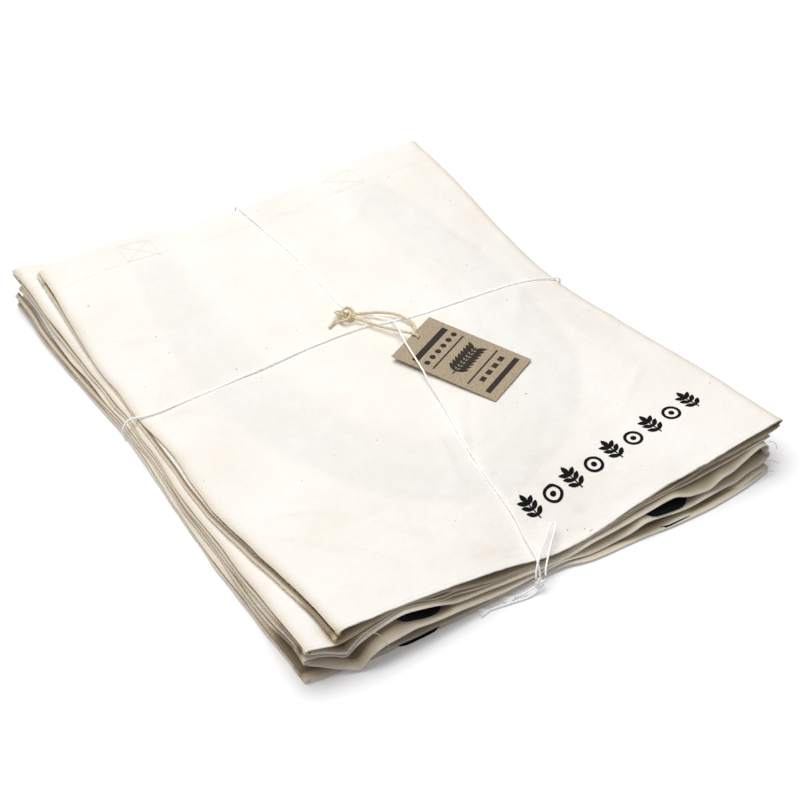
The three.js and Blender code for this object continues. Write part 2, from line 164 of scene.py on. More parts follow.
def eased(t, start, leaving, end, arriving):
    """A smooth step from start to end that leaves the one and arrives at the other at these rates."""
    return (
        (2 * t**3 - 3 * t**2 + 1) * start
        + (t**3 - 2 * t**2 + t) * leaving
        + (3 * t**2 - 2 * t**3) * end
        + (t**3 - t**2) * arriving
    )


def smooth_line(route, closed=False, steps=20):
    """Points on the smooth line through a route's points, moved to where the bundle stands."""
    points = [Vector(point) + BUNDLE_AT for point in route]
    if closed:
        points = [points[-1], *points, points[0], points[1]]
    else:
        points = [2 * points[0] - points[1], *points, 2 * points[-1] - points[-2]]
    line = []
    for before, start, end, after in zip(points, points[1:], points[2:], points[3:]):
        first, middle, last = (gap.length ** 0.5 for gap in (start - before, end - start, after - end))
        chord = (end - start) / middle
        leaving = middle * ((start - before) / first - (end - before) / (first + middle) + chord)
        arriving = middle * (chord - (after - start) / (middle + last) + (after - end) / last)
        for step in range(steps):
            line.append(eased(step / steps, start, leaving, end, arriving))
    if not closed:
        line.append(points[-2])
    return line


def evenly(line, spacing, closed=False):
    """The same line with points a whole number of equal steps apart, and its length."""
    path = [*line, line[0]] if closed else line
    lengths = [0.0]
    for a, b in zip(path, path[1:]):
        lengths.append(lengths[-1] + (b - a).length)
    count = max(2, round(lengths[-1] / spacing))
    even = []
    piece = 0
    for step in range(count if closed else count + 1):
        along = lengths[-1] * step / count
        while piece < len(path) - 2 and lengths[piece + 1] < along:
            piece += 1
        share = (along - lengths[piece]) / (lengths[piece + 1] - lengths[piece])
        even.append(path[piece].lerp(path[piece + 1], min(share, 1)))
    return even, lengths[-1]


def new_piece(name, vertices, faces, uvs, material):
    """A smooth-shaded mesh object; uvs are one pair of metres for each corner of each face."""
    mesh = bpy.data.meshes.new(name)
    mesh.from_pydata([tuple(v) for v in vertices], [], faces)
    if uvs:
        layer = mesh.uv_layers.new(name="cloth")
        for loop, uv in zip(layer.data, uvs):
            loop.uv = uv
    mesh.polygons.foreach_set("use_smooth", [True] * len(mesh.polygons))
    mesh.update()
    made = bpy.data.objects.new(name, mesh)
    scene.collection.objects.link(made)
    made.data.materials.append(material)
    return made


def laid_cord(name, line, diameter, lay, material, closed=False, sides=12):
    """A cord of strands laid together along a line; lay is the length of one full turn."""
    path, length = evenly(line, lay / 9, closed)
    count = len(path)
    tangents = []
    for i in range(count):
        before, after = max(i - 1, 0), min(i + 1, count - 1)
        if closed:
            before, after = i - 1, (i + 1) % count
        tangents.append((path[after] - path[before]).normalized())
    across = tangents[0].orthogonal().normalized()
    frames = []
    for tangent in tangents:
        across = (across - tangent * across.dot(tangent)).normalized()
        frames.append((across.copy(), tangent.cross(across)))
    turns = round(length / lay * STRANDS) / STRANDS * 2 * math.pi
    closing = 0.0
    if closed:
        last = (frames[-1][0] - tangents[0] * frames[-1][0].dot(tangents[0])).normalized()
        closing = math.atan2(frames[0][1].dot(last), frames[0][0].dot(last))
    steps = count if closed else count - 1
    vertices = []
    for i, (centre, (a, b)) in enumerate(zip(path, frames)):
        twist = (turns - closing) * i / steps
        for side in range(sides):
            angle = 2 * math.pi * side / sides
            radius = diameter / 2 * (1 - STRAND_GROOVE * (1 - abs(math.cos(STRANDS * angle / 2))))
            vertices.append(centre + radius * (math.cos(angle + twist) * a + math.sin(angle + twist) * b))
    faces, uvs = [], []
    step = length / count
    for i in range(steps):
        for side in range(sides):
            beside = (side + 1) % sides
            after = (i + 1) % count
            here, there = i * sides, after * sides
            faces.append((here + side, here + beside, there + beside, there + side))
            low, high = side * diameter / 4, (side + 1) * diameter / 4
            uvs += [(i * step, low), (i * step, high), ((i + 1) * step, high), ((i + 1) * step, low)]
    for ring, way in () if closed else ((0, -1), (count - 1, 1)):
        vertices.append(path[ring] + way * tangents[ring] * diameter / 4)
        for side in range(sides):
            corners = (ring * sides + side, ring * sides + (side + 1) % sides, len(vertices) - 1)
            faces.append(corners if way > 0 else corners[::-1])
            uvs += [(0, 0), (0, diameter), (diameter, 0)]
    return new_piece(name, vertices, faces, uvs, material)


def knot_line(at, outer_radius, diameter, facing, steps=120):
    """The middle line of a small tied knot, a closed line that passes three times over itself."""
    radius = (outer_radius - diameter / 2) / 1.5
    line = []
    for step in range(steps):
        turn = 4 * math.pi * step / steps
        out = radius * (2 + math.cos(1.5 * turn)) / 2
        x, y, z = out * math.cos(turn), out * math.sin(turn), radius * math.sin(1.5 * turn) / 2
        line.append(at + (Vector((x, -z, y)) if facing == "front" else Vector((x, y, z))))
    return line


def frayed_end(name, line, material, seed):
    """The hairs of a cord's cut end, spread in a flat fan beyond the end of its line."""
    chance = random.Random(seed)
    out = (line[-1] - line[-4]).normalized()
    aside = out.cross(Vector((0, 0, 1))).normalized()
    vertices, faces = [], []
    for _ in range(FRAY_HAIRS):
        spread = math.radians(chance.uniform(-FRAY_SPREAD, FRAY_SPREAD))
        way = out * math.cos(spread) + aside * math.sin(spread)
        beside = way.cross(Vector((0, 0, 1))).normalized() * HAIR_HALF_WIDTH
        length = FRAY * chance.uniform(0.75, 1.05)
        lift = chance.uniform(-0.0004, 0.0006)
        first = len(vertices)
        for step in range(5):
            t = step / 4
            middle = line[-1] - out * 0.001 + way * length * t + Vector((0, 0, lift * t))
            high = Vector((0, 0, HAIR_HALF_HEIGHT))
            vertices += [middle - beside, middle + high, middle + beside, middle - high]
        for step in range(4):
            for side in range(4):
                a, b = first + step * 4 + side, first + step * 4 + (side + 1) % 4
                faces.append((a, a + 4, b + 4, b))
        faces.append((first, first + 1, first + 2, first + 3))
        faces.append((first + 19, first + 18, first + 17, first + 16))
    return new_piece(name, vertices, faces, [(0, 0)] * (4 * len(faces)), material)


# Cotton string, bleached and loosely spun: matt white, and the fine grey between its fibres is painted shade.
# A faint glow is painted light that lifts the string's shaded side.
twine_look = matt_look(
    "bleached_cotton_string", tones=[(0.3, "#f1eee6"), (0.55, "#ffffff")], grain=(1.0, 3.0),
    bump=(0.3, 0.0001), roughness=0.7, along=(900, 9000, 1),
    more={"Sheen Weight": 0.2, "Emission Color": (1, 1, 1, 1), "Emission Strength": 0.14},
)

crosswise = laid_cord(
    "twine_ring_crosswise", smooth_line(CROSSWISE, closed=True), TWINE, TWINE_LAY, twine_look,
    closed=True,
)
lengthwise = laid_cord("twine_run_lengthwise", smooth_line(LENGTHWISE), TWINE, TWINE_LAY, twine_look)
twine_knot = laid_cord(
    "twine_bow_knot", knot_line(TWINE_KNOT_AT, TWINE_KNOT_RADIUS, TWINE, "front"), TWINE, TWINE_LAY,
    twine_look, closed=True,
)
loop_line = smooth_line(BOW_LOOP)
bow_loop = laid_cord("twine_bow_eye", loop_line, TWINE, TWINE_LAY, twine_look)
short_line = smooth_line(SHORT_TAIL)
short_tail = laid_cord("twine_end_short", short_line, TWINE, TWINE_LAY, twine_look)
tail_line = smooth_line(LONG_TAIL)
long_tail = laid_cord("twine_end_long", tail_line, TWINE, TWINE_LAY, twine_look)
for piece, cad_node in (
    (crosswise, "twine_crosswise"), (lengthwise, "twine_lengthwise"), (twine_knot, "twine_knot"),
    (bow_loop, "twine_bow_loop"), (short_tail, "twine_short_tail"), (long_tail, "twine_long_tail"),
):
    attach(piece, "bundle")
    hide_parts(cad_node)
short_fray = frayed_end("twine_fray_short", short_line, twine_look, 3)
long_fray = frayed_end("twine_fray_long", tail_line, twine_look, 8)
for piece in (short_fray, long_fray):
    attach(piece, "bundle")


# Tag cord
# Natural hemp cord of three strands, 2.6 mm thick, doubled through the card's hole and tied in an
# overhand knot beside the crossing of the twine, with a short cut tail.
TAG_CORD = 0.0026
TAG_CORD_LAY = 0.009
CORD_ROUTE = [
    (0.0088, 0.0414, 0.032), (0.016, 0.0286, 0.032), (0.021, 0.0193, 0.0324), (0.026, 0.0095, 0.0337),
    (0.0296, 0.0015, 0.0354), (0.0324, -0.0046, 0.0365), (0.034, -0.008, 0.0362),
    (0.0342, -0.0089, 0.0344), (0.0346, -0.0078, 0.0327), (0.0364, -0.0038, 0.032), (0.04, 0.003, 0.0319),
    (0.0426, 0.0095, 0.0319), (0.0425, 0.017, 0.032), (0.0385, 0.027, 0.0324), (0.029, 0.036, 0.0328),
    (0.019, 0.0415, 0.0326), (0.0126, 0.0453, 0.0322),
]
CORD_TAIL = [(-0.0036, 0.0489, 0.031), (-0.008, 0.047, 0.0298), (-0.0125, 0.0446, 0.0296)]
CORD_KNOT_AT = Vector((0.0047, 0.049, 0.0323)) + BUNDLE_AT
CORD_KNOT_RADIUS = 0.009

# Undyed hemp, dull and slightly hairy: straw-coloured fibres, brown between them from darker fibres and from
# painted shade.
cord_look = matt_look(
    "natural_hemp_cord", tones=[(0.3, "#8c6c40"), (0.47, "#f0e1c2")], grain=(1.0, 4.0),
    bump=(0.7, 0.0003), roughness=0.8, along=(420, 3200, 1),
)

cord_line = smooth_line(CORD_ROUTE)
tag_cord = laid_cord("tag_hemp_cord", cord_line, TAG_CORD, TAG_CORD_LAY, cord_look)
tag_knot = laid_cord(
    "tag_hemp_knot", knot_line(CORD_KNOT_AT, CORD_KNOT_RADIUS, TAG_CORD, "up"), TAG_CORD, TAG_CORD_LAY,
    cord_look, closed=True,
)
cord_tail = laid_cord("tag_hemp_end", smooth_line(CORD_TAIL), TAG_CORD, TAG_CORD_LAY, cord_look)
for piece, cad_node in ((tag_cord, "tag_cord"), (tag_knot, "tag_cord_knot"), (cord_tail, "tag_cord_tail")):
    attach(piece, "tag_hanger")
    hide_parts(cad_node)


# Cotton of the bags
# Unbleached plain-weave calico: cream, with blotches of warmer tone, seed specks and slubs. The
# weave is 0.5 mm between threads, drawn at 1.1 mm so that it shows at this size of picture. The
# scale of each noise is one over the size in metres: blotches of 77 mm, patches of 29 mm.
THREAD_SPACING = 0.0011
STITCH_LINE = 0.031
STITCH = 0.0028
SEED_WOBBLE = 0.0012
calico = new_material("unbleached_calico")
cloth_map = add_node(calico, "UVMap", uv_map="cloth")
blotches = add_node(calico, "TexNoise", {"Vector": cloth_map, "Scale": 13.0, "Detail": 5.0})
tone = add_node(calico, "ValToRGB", {"Fac": blotches}, ramp=[(0.3, "#f9f4ec"), (0.64, "#fefbf7")])

# Warmer patches, and a fine grain of 1.2 mm from thicker and thinner threads.
for scale, detail, lowest, highest, most, tint in (
    (34.0, 4.0, 0.5, 0.8, 0.3, "#f9ecdd"), (850.0, 3.0, 0.48, 0.75, 0.4, "#ece3d4"),
):
    noisy = add_node(calico, "TexNoise", {"Vector": cloth_map, "Scale": scale, "Detail": detail})
    share = add_node(
        calico, "MapRange", {"Value": noisy, "From Min": lowest, "From Max": highest, "To Max": most},
    )
    tone = add_node(calico, "MixRGB", {"Fac": share, "Color1": tone, "Color2": colour(tint)})

# The dark handles inside show faintly through the upper panel, unevenly.
through = add_node(calico, "Attribute", attribute_name="show_through")
uneven = add_node(calico, "TexNoise", {"Vector": cloth_map, "Scale": 75.0, "Detail": 9.0, "Roughness": 0.8})
uneven_share = add_node(
    calico, "MapRange", {"Value": uneven, "From Min": 0.38, "From Max": 0.62, "To Min": 0.45},
)
through_share = add_node(
    calico, "Math", {0: through.outputs["Fac"], 1: uneven_share}, operation="MULTIPLY",
)
tone = add_node(calico, "MixRGB", {"Fac": through_share, "Color1": tone, "Color2": colour("#ebece7")})

# Brown specks of cotton seed with an uneven outline: large ones in some of the squares of 10 mm,
# and small pale ones in a few of the squares of 3 mm.
wobble = add_node(calico, "TexNoise", {"Vector": cloth_map, "Scale": 900.0, "Detail": 2.0})
wobble_share = add_node(calico, "VectorMath", {0: wobble.outputs["Color"], 3: SEED_WOBBLE}, operation="SCALE")
seed_place = add_node(calico, "VectorMath", {0: cloth_map, 1: wobble_share}, operation="ADD")
for cells, rarest, widest, tint, strength in (
    (95.0, 0.62, 0.085, "#a58759", 0.6), (300.0, 0.86, 0.13, "#c7a877", 0.7),
):
    seeds = add_node(calico, "TexVoronoi", {"Vector": seed_place, "Scale": cells})
    seed_chance = add_node(calico, "SeparateColor", {"Color": seeds.outputs["Color"]})
    seed_edge = add_node(
        calico, "MapRange", {"Value": seed_chance, "From Min": rarest, "From Max": 1.0, "To Max": widest},
    )
    seed_near = add_node(
        calico, "Math", {0: seeds.outputs["Distance"], 1: seed_edge}, operation="LESS_THAN",
    )
    seed_share = add_node(calico, "Math", {0: seed_near, 1: strength}, operation="MULTIPLY")
    tone = add_node(calico, "MixRGB", {"Fac": seed_share, "Color1": tone, "Color2": colour(tint)})

# Painted shade: a deeper cream towards the rolled edges and hems, and brown deep in the tucks and crevices.
painted_shade = add_node(calico, "Attribute", attribute_name="painted_shade").outputs["Fac"]
for lowest, highest, most, tint in ((0.0, 0.5, 0.8, "#d2be98"), (0.55, 1.0, 0.85, "#5e4022")):
    share = add_node(
        calico, "MapRange", {"Value": painted_shade, "From Min": lowest, "From Max": highest, "To Max": most},
    )
    tone = add_node(calico, "MixRGB", {"Fac": share, "Color1": tone, "Color2": colour(tint)})

# A row of lockstitches holds the hem: dashes of thread lying in a shallow groove.
from_mouth = add_node(calico, "Attribute", attribute_name="from_mouth")
from_stitches = add_node(
    calico, "Math", {0: from_mouth.outputs["Fac"], 1: STITCH_LINE}, operation="SUBTRACT",
)
beside = add_node(calico, "Math", {0: from_stitches}, operation="ABSOLUTE")
groove = add_node(
    calico, "MapRange",
    {"Value": beside, "From Min": 0.0, "From Max": 0.0016, "To Min": 1.0, "To Max": 0.0},
    interpolation_type="SMOOTHSTEP",
)
split_map = add_node(calico, "SeparateXYZ", {"Vector": cloth_map})
stitch_turn = add_node(
    calico, "Math", {0: split_map.outputs["X"], 1: 2 * math.pi / STITCH}, operation="MULTIPLY",
)
stitch_wave = add_node(calico, "Math", {0: stitch_turn}, operation="SINE")
stitch_dash = add_node(calico, "Math", {0: stitch_wave, 1: 0.2}, operation="GREATER_THAN")
stitch_share = add_node(calico, "Math", {0: stitch_dash, 1: groove}, operation="MULTIPLY")
stitch_faint = add_node(calico, "Math", {0: stitch_share, 1: 0.22}, operation="MULTIPLY")
tone = add_node(calico, "MixRGB", {"Fac": stitch_faint, "Color1": tone, "Color2": colour("#cdb892")})

# The weave, the slubs along the weft and the hem's groove are one relief, over soft puckers of 19 mm.
slub_map = add_node(calico, "Mapping", {"Vector": cloth_map, "Scale": (60, 900, 1)})
slubs = add_node(calico, "TexNoise", {"Vector": slub_map, "Scale": 1.0, "Detail": 2.0})
threads = []
turns = 2 * math.pi / THREAD_SPACING
for axis in ("X", "Y"):
    turned = add_node(calico, "Math", {0: split_map.outputs[axis], 1: turns}, operation="MULTIPLY")
    threads.append(add_node(calico, "Math", {0: turned}, operation="SINE"))
weave = add_node(calico, "Math", {0: threads[0], 1: threads[1]}, operation="MULTIPLY")
woven = add_node(calico, "Math", {0: weave, 1: 0.3, 2: slubs}, operation="MULTIPLY_ADD")
grooved = add_node(calico, "Math", {0: groove, 1: -1.6, 2: woven}, operation="MULTIPLY_ADD")
puckers = add_node(calico, "TexNoise", {"Vector": cloth_map, "Scale": 52.0, "Detail": 3.0})
puckered = add_node(calico, "Bump", {"Height": puckers, "Strength": 0.7, "Distance": 0.003})
relief = add_node(
    calico, "Bump", {"Height": grooved, "Strength": 0.35, "Distance": 0.0003, "Normal": puckered},
)
shader = add_node(
    calico, "BsdfPrincipled",
    {"Base Color": tone, "Normal": relief, "Roughness": 0.93, "Sheen Weight": 0.12},
)
add_node(calico, "OutputMaterial", {"Surface": shader})


# The stack of bags
# Four tote bags lie on each other, pressed thin where the twine crosses their edges. The height of
# the stack is the CAD model's. Mouth is the end with the opening: 1 at the back, -1 in front. Turn
# is in degrees.
BAG_WIDTH = 0.370
BAG_LENGTH = 0.475
BAGS = [
    {"name": "bag_4", "level": 0, "at": (-0.011, 0.001), "turn": -1.2, "mouth": -1},
    {"name": "bag_3", "level": 1, "at": (-0.008, -0.002), "turn": -1.0, "mouth": -1},
    {"name": "bag_2", "level": 2, "at": (-0.0045, 0.008), "turn": -0.6, "mouth": 1},
    {"name": "bag_1", "level": 3, "at": (0.010, 0.002), "turn": 0.0, "mouth": 1},
]
TOP = BAGS[3]
STACK = 0.028
# Share of the stack by which the back left corner of each bag is pushed up
BACK_LEFT_RISE = (0, 0.05, 0.14, 0.19)
# Depth of the dips where the twine crosses each edge, and how far in they reach
SIDE_DIP = 0.013
SIDE_DIP_REACH = 0.036
FRONT_DIP = 0.0153
BACK_DIP = 0.0082
END_DIP_REACH = 0.044
# Distance between the points at which a curve is worked out beforehand
SAMPLE = 0.001


def bell(distance, reach, power=2):
    """1 at no distance, falling away over the reach."""
    return math.exp(-abs(distance / reach) ** power)


def mix(a, b, share):
    return a + (b - a) * share


def clamp(value, low, high):
    return min(max(value, low), high)


def plateau(value, outer_low, low, high, outer_high):
    """1 between two lines, falling to 0 at the outer pair."""
    if value < low:
        return clamp((value - outer_low) / (low - outer_low), 0, 1)
    return clamp((outer_high - value) / (outer_high - high), 0, 1)


def curve(rows, column):
    """A smooth curve through the first and the given column of a table, level beyond its ends."""
    places = [row[0] for row in rows]
    values = [row[column] for row in rows]
    last = len(rows) - 1
    slopes = []
    for i in range(last + 1):
        before, after = max(i - 1, 0), min(i + 1, last)
        slopes.append((values[after] - values[before]) / (places[after] - places[before]))
    samples = []
    count = math.ceil((places[-1] - places[0]) / SAMPLE)
    piece = 0
    for step in range(count + 1):
        place = min(places[0] + step * SAMPLE, places[-1])
        while piece < last - 1 and places[piece + 1] < place:
            piece += 1
        span = places[piece + 1] - places[piece]
        t = (place - places[piece]) / span
        leaving, arriving = span * slopes[piece], span * slopes[piece + 1]
        samples.append(eased(t, values[piece], leaving, values[piece + 1], arriving))

    def at(place):
        along = clamp((place - places[0]) / SAMPLE, 0, count)
        index = min(int(along), count - 1)
        return mix(samples[index], samples[index + 1], along - index)

    return at


def stack_top(x, y):
    """Height of the top of the stack: higher at the corners, lower where the twine pulls."""
    half_width, half_length = BAG_WIDTH / 2, BAG_LENGTH / 2
    top_x, top_y = TOP["at"]
    across = clamp((x - top_x) / half_width, -1, 1)
    along = clamp((y - top_y) / half_length, -1, 1)
    # The corners rise 11 mm in front; behind, the middle rises 5 mm and the corners 9 mm
    rise = 0.011 * across**2 if along < 0 else 0.005 + 0.004 * across**2
    from_left = max(x - (top_x - half_width), 0)
    from_right = max(top_x + half_width - x, 0)
    from_front = max(y - (top_y - half_length), 0)
    from_back = max(top_y + half_length - y, 0)
    return (
        STACK
        + abs(along) ** 3 * rise
        - SIDE_DIP * bell(y - 0.010, 0.140, 4) * bell(from_left, SIDE_DIP_REACH)
        - SIDE_DIP * bell(y - 0.025, 0.145, 3) * bell(from_right, SIDE_DIP_REACH)
        - FRONT_DIP * bell(x - 0.006, 0.062) * bell(from_front, END_DIP_REACH)
        - BACK_DIP * bell(x - 0.002, 0.088, 4) * bell(from_back, END_DIP_REACH)
    )


def stack_bottom(x, y):
    """Height of the underside: lifted over the two runs of twine that pass beneath."""
    over_long = plateau(x, -0.070, -0.032, 0.020, 0.060)
    over_cross = plateau(y, -0.060, 0.005, 0.050, 0.100)
    return 0.002 * max(over_long, over_cross) + 0.0018 * over_long * over_cross


def slow_wave(x, y, length, seed):
    """Smooth noise from about -1 to 1, with waves of about this length."""
    return noise.noise(Vector((x / length, y / length, seed))) * 1.6


def boundary(level, x, y):
    """Height of the boundary under the bag of this level."""
    share = level / len(BAGS)
    if 0 < level < len(BAGS):
        share += 0.022 * slow_wave(x, y, 0.07, level * 7.3)
        share += BACK_LEFT_RISE[level] * bell(x + 0.19, 0.026) * bell(y - 0.24, 0.045)
    return mix(stack_bottom(x, y), stack_top(x, y), share)


def in_bag(bag, x, y):
    """A point of a bag's own plan, turned and moved to where the bag lies."""
    turn = math.radians(bag["turn"])
    return (
        bag["at"][0] + x * math.cos(turn) - y * math.sin(turn),
        bag["at"][1] + x * math.sin(turn) + y * math.cos(turn),
    )


# Edges of the bags
# The sides and fronts of the pile are uneven. Left and right: y, then x of the upper and of the
# lower panel's edge. Front: x, then y of the edge, height 8 mm in from it and, where that is
# another, height at the edge.
LEFT_EDGES = {
    "bag_1": [
        (-0.235, -0.1742, -0.1774), (-0.2, -0.1746, -0.1778), (-0.17, -0.1758, -0.18),
        (-0.15, -0.1768, -0.1811), (-0.11, -0.1782, -0.1826), (-0.08, -0.1794, -0.1838),
        (-0.06, -0.1784, -0.1836), (-0.04, -0.1772, -0.1826), (-0.02, -0.1758, -0.1816),
        (0.0, -0.1754, -0.1809), (0.03, -0.1774, -0.18), (0.05, -0.1786, -0.1793),
        (0.08, -0.1778, -0.178), (0.1, -0.179, -0.1782), (0.14, -0.178, -0.1786),
        (0.17, -0.1764, -0.1778), (0.2, -0.174, -0.1768), (0.24, -0.1734, -0.1756),
    ],
    "bag_2": [
        (-0.235, -0.1965, -0.1975), (-0.19, -0.1945, -0.1955), (-0.15, -0.1928, -0.194),
        (-0.1, -0.1895, -0.1909), (-0.05, -0.1885, -0.1899), (-0.02, -0.1865, -0.1875),
        (0.0, -0.1845, -0.1855), (0.03, -0.184, -0.185), (0.05, -0.1822, -0.1832),
        (0.07, -0.183, -0.1849), (0.1, -0.183, -0.1847), (0.13, -0.1843, -0.186), (0.17, -0.1859, -0.188),
        (0.2, -0.187, -0.188), (0.245, -0.1885, -0.189),
    ],
    "bag_3": [
        (-0.24, -0.198, -0.1985), (-0.19, -0.1965, -0.1975), (-0.15, -0.1945, -0.196),
        (-0.1, -0.1915, -0.1926), (-0.05, -0.19, -0.1915), (0.0, -0.187, -0.188), (0.03, -0.1865, -0.188),
        (0.05, -0.186, -0.1875), (0.07, -0.1872, -0.1888), (0.1, -0.187, -0.1903),
        (0.14, -0.1895, -0.1925), (0.17, -0.19, -0.1942), (0.2, -0.1884, -0.193), (0.235, -0.189, -0.193),
    ],
    "bag_4": [
        (-0.24, -0.1965, -0.1975), (-0.19, -0.197, -0.198), (-0.15, -0.1965, -0.198),
        (-0.1, -0.196, -0.197), (-0.05, -0.1935, -0.1945), (0.0, -0.1903, -0.1913),
        (0.04, -0.1885, -0.1895), (0.07, -0.1895, -0.1905), (0.1, -0.1908, -0.1918),
        (0.14, -0.1924, -0.1934), (0.18, -0.1932, -0.1942), (0.238, -0.191, -0.192),
    ],
}
RIGHT_EDGES = {
    "bag_1": [
        (-0.235, 0.196, 0.193), (-0.15, 0.1972, 0.194), (-0.1, 0.1965, 0.194), (-0.05, 0.194, 0.1915),
        (-0.015, 0.1903, 0.188), (0.0, 0.1888, 0.187), (0.04, 0.1872, 0.1858), (0.08, 0.1905, 0.188),
        (0.13, 0.1948, 0.192), (0.18, 0.1965, 0.194), (0.24, 0.1955, 0.194),
    ],
    "bag_2": [
        (-0.235, 0.183, 0.1838), (-0.19, 0.1818, 0.181), (-0.12, 0.1795, 0.1806), (-0.05, 0.1796, 0.179),
        (0.04, 0.179, 0.1782), (0.11, 0.1805, 0.1818), (0.18, 0.1822, 0.181), (0.245, 0.183, 0.184),
    ],
    "bag_3": [
        (-0.24, 0.182, 0.1834), (-0.18, 0.1786, 0.1798), (-0.1, 0.177, 0.1782), (0.04, 0.176, 0.177),
        (0.12, 0.1775, 0.1786), (0.235, 0.181, 0.18),
    ],
    "bag_4": [
        (-0.24, 0.183, 0.1815), (-0.17, 0.177, 0.1785), (-0.1, 0.175, 0.1762), (0.04, 0.173, 0.1742),
        (0.12, 0.1752, 0.176), (0.238, 0.179, 0.1784),
    ],
}
